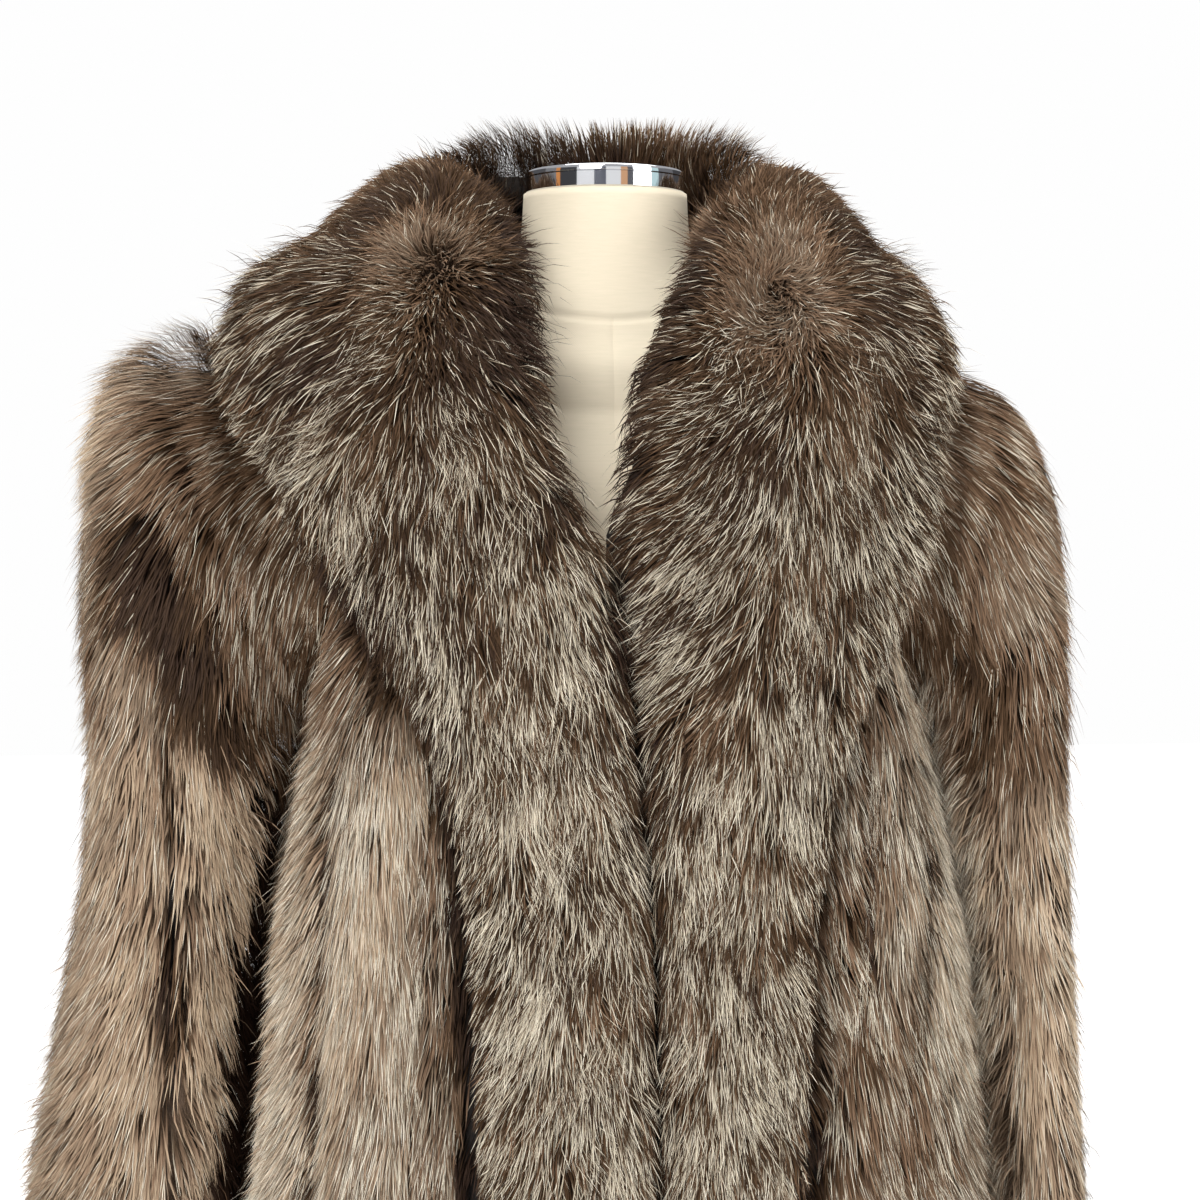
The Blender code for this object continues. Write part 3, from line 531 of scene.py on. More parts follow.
def pelts_across(pelts, place, level):
    """Tone, frost, lean, and nearness to a pelt's middle and to a parting, for places across."""
    tone, frost, lean, middle, parting, start = (np.zeros(place.shape) for _ in range(6))
    for pelt in pelts:
        end = pelt.to + pelt.shift * level
        inside = (place >= start) & (place <= end + 1e-6)
        within = np.clip((place - start) / np.maximum(end - start, 0.1), 0, 1)
        tone = np.where(inside, pelt.tone, tone)
        frost = np.where(inside, pelt.frost, frost)
        turned = pelt.lean_first + (pelt.lean_last - pelt.lean_first) * within
        lean = np.where(inside, radians(1) * turned, lean)
        middle = np.where(inside, np.sin(pi * within), middle)
        parting = np.maximum(parting, 1 - soft(abs(place - end) / pelt.parting))
        start = end
    return tone, frost, lean, middle, parting


def add_patches(tone, frost, patches, along, column, columns):
    """Tone and frost with patches; columns is how many go round a closed piece, or 0."""
    for p in patches:
        beside = abs(column - p.column)
        if columns:
            beside = np.minimum(beside, columns - beside)
        near = soft(1.5 - np.hypot((along - p.along) / p.reach, beside / p.columns))
        tone, frost = blend(tone, p.tone, near), blend(frost, p.frost, near)
    return tone, frost


def shade_partings(tone, frost, parting, darkest):
    """Tone and frost with painted shade in the partings between the pelts."""
    dark = soft(1.6 * parting)
    return blend(tone, darkest, 0.95 * dark), frost * (1 - dark)


def body_field(turn_at, columns, pelts, side, patches):
    """Field of one panel of the coat's body, from the hem up."""
    level = np.linspace(0, NECKLINE, 10 * NECKLINE)[:, None]
    share = np.linspace(0, 1, 10 * columns + 1)[None, :]
    turn = turn_at(share, level)
    level = np.broadcast_to(level, turn.shape)
    place = np.broadcast_to(share * columns, turn.shape)
    tone, frost, lean, middle, parting = pelts_across(pelts, place, level - HIPS)

    skin, normal = leather(turn, level), leather_normal(turn, level)
    pile = body_pile(turn, level)
    open_fur = np.clip((pile - PILE_COVERED) / (PILE - PILE_COVERED), 0, 1)
    groove = 1 - middle ** 0.6
    groove[:, 0] = groove[:, -1] = 0.6
    height = (pile - PELT_GROOVE * open_fur * groove)[..., None]
    root = skin + normal * np.maximum(height - HAIR_DEPTH, LEAST_ROOT)
    crown = skin + normal * height
    along, across = tangents(skin)
    lay = hang(along, across, lean + WAVER * np.sin(level * 2.1 + place * 1.3), side)

    tone, frost = shade_partings(tone, frost, parting, 0.4)
    ahead = np.cos(turn) > 0
    chest = soft((level - 3.9) / 0.5) * ahead
    tone, frost = blend(tone, 4.2, chest), blend(frost, 0.14, chest)
    tone, frost = add_patches(tone, frost, patches, level, place, 0)
    # Painted shadow of the collar: along the collar's edge the body's hairs are painted dark, over
    # a wider strip where side is negative, on the wearer's right front and low on the back.
    covered = under_collar(turn, level)
    skirt = 1 - soft((level - 3.6) / 0.6)
    shade = 0.2 * chest + 0.25 * skirt if side < 0 else 0
    collar_shadow = soft((covered - 0.93 + shade) / 0.07)
    tone, frost = blend(tone, 1.2, collar_shadow), frost * (1 - collar_shadow)

    # Under the band a few taller hairs close the room between it and the front.
    filling = soft((covered - 0.9) / 0.1) * (1 - soft((level - 4.2) / 0.6)) * ahead
    weight = 1 - (0.97 - 0.19 * filling) * soft((covered - 0.75) / 0.25)
    weight = weight * (0.55 + 0.45 * soft((skin[..., 2] - 0.60) / 0.10)) * (1 - 0.85 * parting)
    at_side = soft((abs(skin[..., 0]) - 0.17) / 0.05) * soft((1.16 - skin[..., 2]) / 0.05)
    rise = 1.0 + at_side * (0.15 + 0.5 * soft((2.5 - tone) / 1.5)) + 2.4 * filling
    length = blend(HAIR_COVERED, HAIR, open_fur)
    mess = np.zeros(turn.shape)
    return Field(skin, root, crown, lay, mess, tone, frost, length, rise, weight, False)


def front_field(side, pelts, patches):
    """Field of a front, from its edge to the seam at the side."""
    def turn_at(share, level):
        gap = seam_turn(level) * EDGE_GAP
        edge = side * front_edge(level, side)
        straight = edge + gap + (pi / 2 - edge - 2 * gap) * share
        return side * (straight - armhole_turn(level) * share ** 1.5)

    return body_field(turn_at, FRONT_PELTS, pelts, side, patches)


def back_field():
    """Field of the back, from the wearer's left to the right."""
    def turn_at(share, level):
        beside = 2 * share - 1
        close_up = armhole_turn(level) * abs(beside) ** 1.5
        return pi + beside * pi / 2 - np.sign(beside) * close_up

    pelts = [Pelt(k + 1.0, 0.0, tone, 0.26 * (tone > 2), 8, -8, 0.2)
             for k, tone in enumerate(BACK_PELT_TONES)]
    return body_field(turn_at, BACK_PELTS, pelts, -1, PATCHES_BACK)


def sleeve_rings(row, side, down, column, middle=None):
    """Points round the rings of a sleeve's fur, one for each row, or of its leather if no middles
    of pelts are given."""
    in_x, in_z, out_x, out_z, depth, behind = np.moveaxis(row, -1, 0)
    inner, outer = np.stack([in_x, in_z], -1), np.stack([out_x, out_z], -1)
    if middle is None:
        across = unit(outer - inner)
        inner = inner + across * (SLEEVE_PILE_IN + UNDERARM_PILE * (1 - down))[:, None]
        outer = outer - across * SLEEVE_PILE_OUT
        depth = depth - SLEEVE_PILE_FACE
    centre, reach = (inner + outer) / 2, (outer - inner) / 2
    turn = 2 * pi * column / SLEEVE_COLUMNS
    out, face = np.cos(turn), np.sin(turn)
    grow = np.broadcast_to(superellipse(out, face), (len(row), len(column))).copy()
    if middle is not None:
        cut = soft((out + 0.55) / 0.5) * (1 - middle ** 0.7)
        grow -= down[:, None] * cut * SLEEVE_GROOVE / depth[:, None]
    point = centre[:, None] + reach[:, None] * (out * grow)[..., None]
    y = behind[:, None] - face * grow * depth[:, None]
    return np.stack([side * point[..., 0], y, point[..., 1]], -1)


def armhole_edge(side, column):
    """Leather and outline of the fur on the armhole's edge, for columns of a sleeve."""
    level = armhole_level(abs(ARMHOLE_ROWS - column))
    toward = np.where(column <= ARMHOLE_ROWS, -1, 1)
    turn = side * (pi / 2 + toward * armhole_turn(level))
    skin = leather(turn, level)
    return skin, skin + leather_normal(turn, level) * body_pile(turn, level)[:, None]


def sleeve_shape(side, table, pelts):
    """Columns and rows of a sleeve, with its leather and its fur's outline, from the armhole."""
    column = np.linspace(0, SLEEVE_COLUMNS, 6 * SLEEVE_COLUMNS + 1)
    ring = np.linspace(0, SLEEVE_RINGS, 6 * SLEEVE_RINGS + 1)
    place = (len(table) - 1) * ring / SLEEVE_RINGS
    row = on_curve(table, place)
    down = soft(ring / SHOULDER_EASE)
    place = place[:, None]
    middle = pelts_across(pelts, column + 0 * place, place - ELBOW)[3]
    crown = sleeve_rings(row, side, down, column, middle)
    skin = sleeve_rings(row, side, down, column)
    skin_edge, crown_edge = armhole_edge(side, column)
    lead = np.arange(SEAM_ROWS)[:, None, None] / SEAM_ROWS
    crown = np.concatenate([blend(crown_edge, crown[0], lead), crown])
    skin = np.concatenate([blend(skin_edge, skin[0], lead), skin])
    place = np.concatenate([np.zeros((SEAM_ROWS, 1)), place])
    return column, place, skin, crown


def sleeve_leans(lean, place, column, from_outer):
    """Leans of the sleeve's pelts, with those of the shoulder above them."""
    at = np.arange(len(SHOULDER_LEANS))
    outer = np.interp(place, at, [radians(row.outer) for row in SHOULDER_LEANS])
    inner = np.interp(place, at, [radians(row.inner) for row in SHOULDER_LEANS])
    shoulder = blend(outer, inner, soft((from_outer - 3) / 4))
    lean = blend(shoulder, lean, soft((place - 2.5) / 1.5))
    return lean + WAVER * np.sin(place * 1.7 + column * 0.6)


def sleeve_field(side, table, pelts, patches, swell):
    """Field of a sleeve, from the armhole down, closed round; column 6 is its front."""
    column, place, skin, crown = sleeve_shape(side, table, pelts)
    pile = np.linalg.norm(crown - skin, axis=-1, keepdims=True)
    root = skin + (crown - skin) * np.clip(1 - SLEEVE_HAIR_DEPTH / pile, 0.12, 0.6)
    along = np.gradient(crown, axis=0)
    across = np.roll(crown[:, :-1], -1, axis=1) - np.roll(crown[:, :-1], 1, axis=1)
    across = np.concatenate([across, across[:, :1]], 1)
    everywhere = np.broadcast_to(column, crown.shape[:2])
    tone, frost, lean, _, parting = pelts_across(pelts, everywhere, place - ELBOW)
    from_outer = np.minimum(column, SLEEVE_COLUMNS - column)
    lay = hang(along, across, sleeve_leans(lean, place, column, from_outer), side)

    parting = parting * soft((place - 2.4) / 1.2)
    if side < 0:
        parting = parting * (1 - 0.9 * soft((place - 6.7) / 0.7) * (column < 8))
    tone, frost = shade_partings(tone, frost, parting, 0.2)
    tone, frost = add_patches(tone, frost, patches, place, column, SLEEVE_COLUMNS)
    # On the wearer's right sleeve the rows along the armhole's seam are darkened: painted shadow
    # under the collar's edge.
    if side < 0:
        seam = 1 - np.minimum(np.arange(len(place)) / SEAM_ROWS, 1)
        tone = blend(tone, 2.6, 0.8 * seam[:, None])

    inside = soft((-np.cos(2 * pi * everywhere / SLEEVE_COLUMNS) - 0.35) / 0.4)
    outside = 1 - soft((from_outer - 3) / 3)
    at_seam = swell.seam * (1 - soft(place / 0.9))
    weight = (1 - 0.3 * inside) * (0.55 + 0.45 * soft((crown[..., 2] - 0.70) / 0.06))
    weight = weight * (1 - 0.98 * soft(1.8 * parting)) * (1 + at_seam * outside)
    higher = swell.cuff * soft((place - 4) / 4) + swell.top * (1 - soft((place - 0.6) / 1.6))
    rise = 1.0 + outside * (higher + at_seam - 0.4) + 0.6 * inside
    length = blend(HAIR, HAIR_INSIDE, inside)
    mess = np.zeros(inside.shape)
    return Field(skin, root, crown, lay, mess, tone, frost, length, rise, weight, True)


def collar_section(at, side, turn):
    """Outline of the fur and middle of the leather under it, for one section of the collar; turn
    goes over the arch from the inner edge to the outer one."""
    row = Section(*on_curve(COLLAR, np.array(at)))
    edge = side * radians(row.edge)
    if row.level < NECKLINE and row.edge < NECK_TURN:
        gap = seam_turn(min(row.level, 5.0)) * EDGE_GAP
        edge = float(front_edge(row.level, side) + side * gap)
    outer = side * radians(row.turn_left if side > 0 else row.turn_right)
    lap_in = row.lap_in - side * FRONT_OVERLAP * soft((5.6 - row.level) / 0.6)

    def place(share):
        return blend(edge, outer, share), blend(row.level, row.out_level, share)

    length = np.linalg.norm(leather(*place(0.0)) - leather(*place(1.0)))
    reach = -np.cos(turn)
    share = (1 + reach) / 2
    lap = np.where(reach < 0, lap_in, row.lap_out)
    distance = length / 2 + (length / 2 + lap) * reach * np.minimum(1.0, 0.62 + 1.6 * np.sin(turn))
    under = PILE_COVERED + COLLAR_LIFT
    low = under + 0.006 + 0.75 * row.lap_out * share
    height = low + (row.rise * (1 - row.taper * share) - low) * np.sin(turn) ** 0.8
    within = np.clip(distance / length, 0, 1)
    lean = (row.upright * (1 - within) ** 0.7)[:, None]
    up = unit(leather_normal(*place(within)) * (1 - lean) + np.array([0, 0, 1.0]) * lean)
    spare = (distance - within * length)[:, None]
    inward = unit(leather(*place(0.04)) - leather(*place(0.0)))
    outward = -unit(leather(*place(0.96)) - leather(*place(1.0)))
    base = leather(*place(within)) + np.where(spare < 0, inward, outward) * spare
    crown = base + up * height[:, None]
    crown[:, 2] += row.crest * np.sin(turn) * (1 - share * share)
    middle = leather(*place(0.5)) + leather_normal(*place(0.5)) * (under + 0.004)
    return crown, middle


def collar_field(side, lays, half):
    """Field of half of the collar, from the hem up and round to the centre back."""
    places = np.linspace(0, len(COLLAR) - 1, 8 * (len(COLLAR) - 1) + 1)
    k = np.linspace(0, COLLAR_ARCH - 1, 49)
    turn = pi * (k + 0.35) / (COLLAR_ARCH - 0.3)
    sections = [collar_section(at, side, turn) for at in places]
    crown = np.array([section[0] for section in sections])
    core = np.array([section[1] for section in sections])[:, None]
    root = blend(core, crown, COLLAR_CORE)
    skin = blend(core, crown, COLLAR_CORE - COLLAR_WALL)
    shares = k / (COLLAR_ARCH - 1)
    table = np.array(lays)

    def read(values):
        """Grid of values from five columns of the table."""
        fine = np.array([np.interp(places, table[:, 0], column) for column in values.T])
        return np.array([np.interp(shares, np.linspace(0, 1, 5), row) for row in fine.T])

    angles = np.radians(table[:, 1:6])
    x, y = read(np.cos(angles)), read(np.sin(angles))
    tone, frost = read(table[:, 6:11]), read(table[:, 11:16])
    along, across = tangents(crown)
    lay = comb(np.arctan2(y, x), across, -along)

    # Where the lay turns right round in a whorl, the hairs are shorter, paler and closer.
    mess = 1 - np.hypot(x, y)
    tone = tone + 2.3 * soft(2 * mess - 0.35)
    places = places[:, None]
    behind = soft((places - half.crest) / 0.6)
    crest = behind * np.sin(pi * np.clip(shares, 0.05, 0.8) / 0.85)
    weight = (0.45 + 0.55 * soft((crown[..., 2] - 0.66) / 0.12)) * (1 + 5 * mess)
    weight = weight * (1 - 0.35 * soft(crown[..., 1] / 0.08)) * (1 + 1.2 * crest)

    by_opening = soft((0.16 - shares) / 0.12) * soft((places - 4) / 2)
    by_neck = soft((0.42 - shares) / 0.2) * soft((places - 11) / 1.5)
    tuft = soft(1.6 - abs(shares - 0.8) / 0.12) * soft(1.5 - abs(places - half.tuft) / 1.1)
    at_turn = soft((0.70 - shares) / 0.2) * np.exp(-((places - 13.3) / 0.9) ** 2)
    rim = soft((shares - 0.60) / 0.25) * (1 - soft(places - half.rim))
    edge = soft((0.36 - shares) / 0.16) * np.exp(-(places - 9.3) ** 2) * half.edge
    rise = 1.0 + crest + 0.4 * by_opening + half.tuft_rise * tuft
    rise = rise * (1 - 0.8 * at_turn - 0.3 * rim - 0.8 * edge)
    length = COLLAR_HAIR + (OPENING_HAIR - COLLAR_HAIR) * by_neck
    length = length + (CREST_HAIR - COLLAR_HAIR) * behind
    length = length * (1 - 0.4 * soft(2 * mess)) * (1 - 0.4 * at_turn)
    length = length * (1 - 0.35 * rim) * (1 - 0.45 * edge)
    return Field(skin, root, crown, lay, mess, tone, frost, length, rise, weight, False)


# ---- meshes ------------------------------------------------------------------------------------
def mesh_object(name, points, faces, material):
    """Smooth object from arrays of points and faces, which all have the same number of sides."""
    mesh = bpy.data.meshes.new(name)
    count, sides = faces.shape
    mesh.vertices.add(len(points))
    mesh.vertices.foreach_set("co", points.astype(np.float32).ravel())
    mesh.loops.add(count * sides)
    mesh.loops.foreach_set("vertex_index", faces.astype(np.int32).ravel())
    mesh.polygons.add(count)
    mesh.polygons.foreach_set("loop_start", np.arange(0, count * sides, sides, dtype=np.int32))
    mesh.polygons.foreach_set("use_smooth", np.full(count, True))
    mesh.update()
    mesh.materials.append(material)
    made = bpy.data.objects.new(name, mesh)
    bpy.context.scene.collection.objects.link(made)
    return made


def grid_faces(rows, columns, offset, closed):
    """Four-sided faces of a grid of points, whose numbers start at an offset."""
    k = np.arange(rows * columns).reshape(rows, columns) + offset
    after = np.roll(k, -1, axis=1)
    last = columns if closed else columns - 1
    corners = [k[:-1, :last], after[:-1, :last], after[1:, :last], k[1:, :last]]
    return np.stack(corners, -1).reshape(-1, 4)


def add_pelt(name, field, fur_side, flesh_side):
    """Thin closed shell between a field's leather and the roots of its hairs, on every other point
    of its grid."""
    grids = field.crown, field.root, field.skin, field.tone
    crown, outer, inner, tone = (grid[::2, ::2] for grid in grids)
    outer = outer - unit(crown - outer) * UNDERFUR_DROP
    if field.closed:
        outer, inner = outer[:, :-1], inner[:, :-1]
    rows, columns = outer.shape[:2]
    half = rows * columns
    faces = [grid_faces(rows, columns, 0, field.closed)]
    faces.append(grid_faces(rows, columns, half, field.closed)[:, ::-1])
    k = np.arange(half).reshape(rows, columns)
    if field.closed:
        rims = [np.append(edge, edge[0]) for edge in (k[0], k[-1])]
    else:
        rims = [np.concatenate([k[0], k[1:, -1], k[-1, -2::-1], k[-2:0:-1, 0], k[0, :1]])]
    for rim in rims:
        faces.append(np.stack([rim[:-1], rim[1:], rim[1:] + half, rim[:-1] + half], -1))
    points = np.concatenate([outer.reshape(-1, 3), inner.reshape(-1, 3)])
    made = mesh_object(name, points, np.concatenate(faces), fur_side)
    made.data.materials.append(flesh_side)
    slots = np.zeros(len(made.data.polygons), np.int32)
    slots[len(faces[0]):len(faces[0]) + len(faces[1])] = 1
    made.data.polygons.foreach_set("material_index", slots)
    tone = tone[:, :columns].ravel() / len(TONES)
    stored = made.data.attributes.new("tone", "FLOAT", "POINT")
    stored.data.foreach_set("value", np.concatenate([tone, tone]).astype(np.float32))
    bm = bmesh.new()
    bm.from_mesh(made.data)
    bmesh.ops.recalc_face_normals(bm, faces=bm.faces[:])
    bm.to_mesh(made.data)
    bm.free()
    return made


def read_grid(grid, at, closed):
    """Values of a grid between its points, at rows and columns; beyond its edges they hold."""
    rows, columns = grid.shape[:2]
    row, column = at[..., 0], at[..., 1]
    column = column % (columns - 1) if closed else np.clip(column, 0, columns - 1)
    row = np.clip(row, 0, rows - 1)
    i = np.clip(np.floor(row).astype(int), 0, rows - 2)
    j = np.clip(np.floor(column).astype(int), 0, columns - 2)
    s, t = row - i, column - j
    if grid.ndim == 3:
        s, t = s[..., None], t[..., None]
    low = grid[i, j] * (1 - t) + grid[i, j + 1] * t
    high = grid[i + 1, j] * (1 - t) + grid[i + 1, j + 1] * t
    return low * (1 - s) + high * s


def steps_per_metre(along, across, direction):
    """Rows and columns that one metre in a direction passes, on the plane of two tangents."""
    aa, bb = (along * along).sum(-1), (across * across).sum(-1)
    ab = (along * across).sum(-1)
    a, b = (along * direction).sum(-1), (across * direction).sum(-1)
    spread = np.maximum(aa * bb - ab * ab, 0.02 * aa * bb + 1e-16)    # never quite flat
    return np.stack([(a * bb - b * ab) / spread, (b * aa - a * ab) / spread], -1)


def waves(points, rng, length, count=5):
    """Smooth noise of about -1 to 1 in space, with waves about as long as a given length."""
    total = np.zeros(points.shape[:-1])
    for _ in range(count):
        way = unit(rng.normal(size=3)) * 2 * pi / (length * rng.uniform(0.7, 1.4))
        total += np.sin(points @ way + rng.uniform(0, 2 * pi))
    return total / count ** 0.5


def choose_middles(field, clumps, rng):
    """Row and column of the middle of each clump, by the pelt's area and the field's weight."""
    along, across = tangents(field.root)
    area = np.linalg.norm(np.cross(along, across), axis=-1) * field.weight
    cells = area[:-1, :-1] + area[1:, :-1] + area[:-1, 1:] + area[1:, 1:]
    total = np.cumsum(cells.ravel())
    chosen = np.searchsorted(total, rng.random(clumps) * total[-1])
    row = chosen // cells.shape[1] + rng.random(clumps)
    column = chosen % cells.shape[1] + rng.random(clumps)
    return np.stack([row, column], -1)[:, None]


def vary_sizes(length, rise, wild, shape, rng):
    """Length of each hair and its height over the root, as a share of the outline's."""
    clump = (shape[0], 1)
    length = length * rng.uniform(0.85, 1.12, clump) * rng.uniform(0.72, 1.12, shape)
    taller = (1 - 0.10 * wild) * rng.uniform(1 - 0.18 * wild, 1 + 0.18 * wild, clump)
    taller = taller * rng.uniform(1 - 0.15 * wild, 1 + 0.15 * wild, shape)
    return length, rise * taller


def hair_tones(tone, place, frosted, wild, rng):
    """Tone of each hair: near the field's own, or one of the frosted ones."""
    shape = frosted.shape
    plain = tone + 0.45 * waves(place, rng, 0.06)
    plain = plain + wild * (rng.normal(0, 0.4, (shape[0], 1)) + rng.normal(0, 0.4, shape))
    plain = np.clip(plain, 0, FROSTED - 1.1)
    paler = 0.18 * np.clip(tone - 2, 0, 5) + rng.normal(0.5, 0.6, shape)
    pale = FROSTED + np.clip(paler, 0, len(TONES) - 1 - FROSTED)
    return np.where(frosted, pale, plain)


def add_hair_map(made, tones, rng):
    """UV map of the blades: their tones across it, and the way from root to tip up it."""
    u = ((tones + 0.5) / len(TONES)).reshape(-1)
    bend = 0.6 + rng.uniform(-0.06, 0.06, len(u))
    zeros, ones = np.zeros(len(u)), np.ones(len(u))
    left, right = u - HAIR_MAP, u + HAIR_MAP
    lower = np.stack([u, zeros, right, bend, left, bend], -1)
    upper = np.stack([right, bend, u, ones, left, bend], -1)
    uv = made.data.uv_layers.new(name="OFBake")
    uv.data.foreach_set("uv", np.concatenate([lower, upper], 1).astype(np.float32).ravel())


def grow(name, field, hairs, material, seed, width, unruly, calm):
    """Joined mesh of narrow pointed blades, four points and two triangles each, in clumps."""
    rng = np.random.default_rng(seed)
    clumps = hairs // PER_CLUMP
    shape, clump = (clumps, PER_CLUMP), (clumps, 1)
    wild = 1 - 0.6 * calm
    along, across = tangents(field.root)
    normal = unit(np.cross(along, across))
    out = field.crown - field.root
    normal = normal * np.sign((normal * out).sum(-1).mean())
    depth = np.linalg.norm(out, axis=-1)
    sideways = unit(np.cross(normal, field.lay))
    ahead = steps_per_metre(along, across, field.lay)
    beside = steps_per_metre(along, across, sideways)

    def read(grid, at):
        return read_grid(grid, at, field.closed)

    # Each hair starts beside the middle of its clump; it leans with the lay and swings from it.
    middle = choose_middles(field, clumps, rng)
    a = rng.normal(0, CLUMP, shape)[..., None]
    b = rng.normal(0, CLUMP, shape)[..., None]
    clump_beside = read(beside, middle)
    start = middle + a * read(ahead, middle) + b * clump_beside
    place = read(field.root, middle)
    mess = read(field.mess, middle)
    swing = unruly * (1.2 * waves(place, rng, 0.05) + rng.normal(0, 0.8, clump))
    swing = swing * (1 + 3 * mess) + rng.normal(0, unruly * 0.6, shape)
    swing = swing[..., None]

    frost = 1.25 * read(field.frost, middle) * (1 + 0.45 * waves(place, rng, 0.040))
    frost = frost * rng.uniform(0.3, 1.7, clump)
    frosted = rng.random(shape) < frost
    stray = rng.random(shape) < STRAY
    length, rise = read(field.length, middle), read(field.rise, middle)
    length, rise = vary_sizes(length, rise, wild, shape, rng)
    rise = np.where(frosted, rise * 1.12, rise)
    rise = np.where(stray, rise * rng.uniform(1.2, 1.8, shape), rise)
    rise = rise * (1 + 0.5 * mess)
    height = np.minimum(read(depth, start) * rise, TALLEST)
    run = np.sqrt(np.maximum(length ** 2 - height ** 2, (0.45 * length) ** 2))[..., None]
    gather = b * rng.uniform(0.35, 0.85, clump)[..., None]

    # It runs steeply from its root to a bend, and from there more flatly to its tip.
    way = read(ahead, start) * np.cos(swing) + read(beside, start) * np.sin(swing)
    bend = start + way * run * 0.58 - gather * 0.5 * clump_beside
    rows, columns = field.root.shape[:2]
    if not field.closed:
        bend[..., 1] = np.clip(bend[..., 1], 0, columns - 1)
    bend[..., 0] = np.clip(bend[..., 0], 0, rows - 1)
    up = unit(read(normal, bend))
    sides = read(sideways, bend)
    toward = unit(read(field.lay, bend) * np.cos(swing) + sides * np.sin(swing))
    lift = height[..., None]
    root = read(field.root, start) - read(normal, start) * BLADE_DROP
    knee = read(field.root, bend) + up * lift * 0.76
    tip = knee + toward * run * 0.42 + up * lift * 0.24 - sides * gather * 0.4
    blade = unit(np.cross(tip - root, up))
    roll = rng.uniform(-1, 1, shape)[..., None] * radians(50) * wild
    blade = blade * np.cos(roll) + up * np.sin(roll)
    thick = np.where(frosted, 0.66, 1.15 + 0.35 * calm) * rng.uniform(0.7, 1.2, shape)
    thick = thick * np.where(stray, 0.7, 1.0) / np.sqrt(np.maximum(rise, 1.0))
    blade = blade * (width * thick / 2)[..., None]
    points = np.stack([root, knee + blade, knee - blade, tip], 2).reshape(-1, 3)
    first = np.arange(clumps * PER_CLUMP)[:, None] * 4
    faces = np.concatenate([first + [0, 1, 2], first + [1, 3, 2]], 1).reshape(-1, 3)
    made = mesh_object(name, points, faces, material)
    tones = hair_tones(read(field.tone, middle), place, frosted, wild, rng)
    add_hair_map(made, tones, rng)
    return made


# ---- materials ---------------------------------------------------------------------------------
def linear(hex_colour):
    """Linear colour from an sRGB hex one."""
    channels = [int(hex_colour[i:i + 2], 16) / 255 for i in (1, 3, 5)]
    return [c / 12.92 if c <= 0.04045 else ((c + 0.055) / 1.055) ** 2.4 for c in channels] + [1.0]


def new_material(name):
    """A material with only its output and a Principled shader."""
    made = bpy.data.materials.new(name)
    made.use_nodes = True
    return made, made.node_tree.nodes["Principled BSDF"]


MIX_FACTOR, MIX_A, MIX_B, MIX_RESULT = 0, 6, 7, 2    # a mix node's sockets for colours


def add_node(owner, kind, settings=None, links=None):
    """Adds a node to a material or the world; settings go to its properties or sockets, and links
    feed its sockets."""
    tree = owner.node_tree
    made = tree.nodes.new(kind)
    for key, value in (settings or {}).items():
        if isinstance(key, str) and hasattr(made, key):
            setattr(made, key, value)
        else:
            made.inputs[key].default_value = value
    for key, source in (links or {}).items():
        tree.links.new(source, made.inputs[key])
    return made


def set_ramp(ramp, stops):
    """Stops of a colour ramp, as (place, hex colour) pairs."""
    elements = ramp.color_ramp.elements
    while len(elements) > 1:
        elements.remove(elements[-1])
    for i, (place, colour) in enumerate(stops):
        stop = elements[0] if i == 0 else elements.new(place)
        stop.position = place
        stop.color = linear(colour)


def hair_material():
    """Long guard hairs: a smooth keratin surface, soft gloss, each hair dark at its root."""
    made, shader = new_material("fur_guard_hair")
    uv = add_node(made, "ShaderNodeUVMap", {"uv_map": "OFBake"})
    split = add_node(made, "ShaderNodeSeparateXYZ", links={0: uv.outputs["UV"]})
    ramps = []
    for part in ("root", "middle", "tip"):
        ramp = add_node(made, "ShaderNodeValToRGB", links={0: split.outputs["X"]})
        stops = [((i + 0.5) / len(TONES), getattr(tone, part)) for i, tone in enumerate(TONES)]
        set_ramp(ramp, stops)
        ramps.append(ramp.outputs["Color"])
    low = add_node(made, "ShaderNodeMapRange", {"From Min": 0.15, "From Max": 0.55},
                   {"Value": split.outputs["Y"]})
    high = add_node(made, "ShaderNodeMapRange", {"From Min": 0.52, "From Max": 0.84},
                    {"Value": split.outputs["Y"]})
    below = add_node(made, "ShaderNodeMix", {"data_type": "RGBA"},
                     {MIX_FACTOR: low.outputs[0], MIX_A: ramps[0], MIX_B: ramps[1]})
    whole = add_node(made, "ShaderNodeMix", {"data_type": "RGBA"},
                     {MIX_FACTOR: high.outputs[0], MIX_A: below.outputs[MIX_RESULT],
                      MIX_B: ramps[2]})
    made.node_tree.links.new(whole.outputs[MIX_RESULT], shader.inputs["Base Color"])
    shader.inputs["Roughness"].default_value = 0.5
    shader.inputs["IOR"].default_value = 1.55
    shader.inputs["Specular IOR Level"].default_value = 0.02
    return made


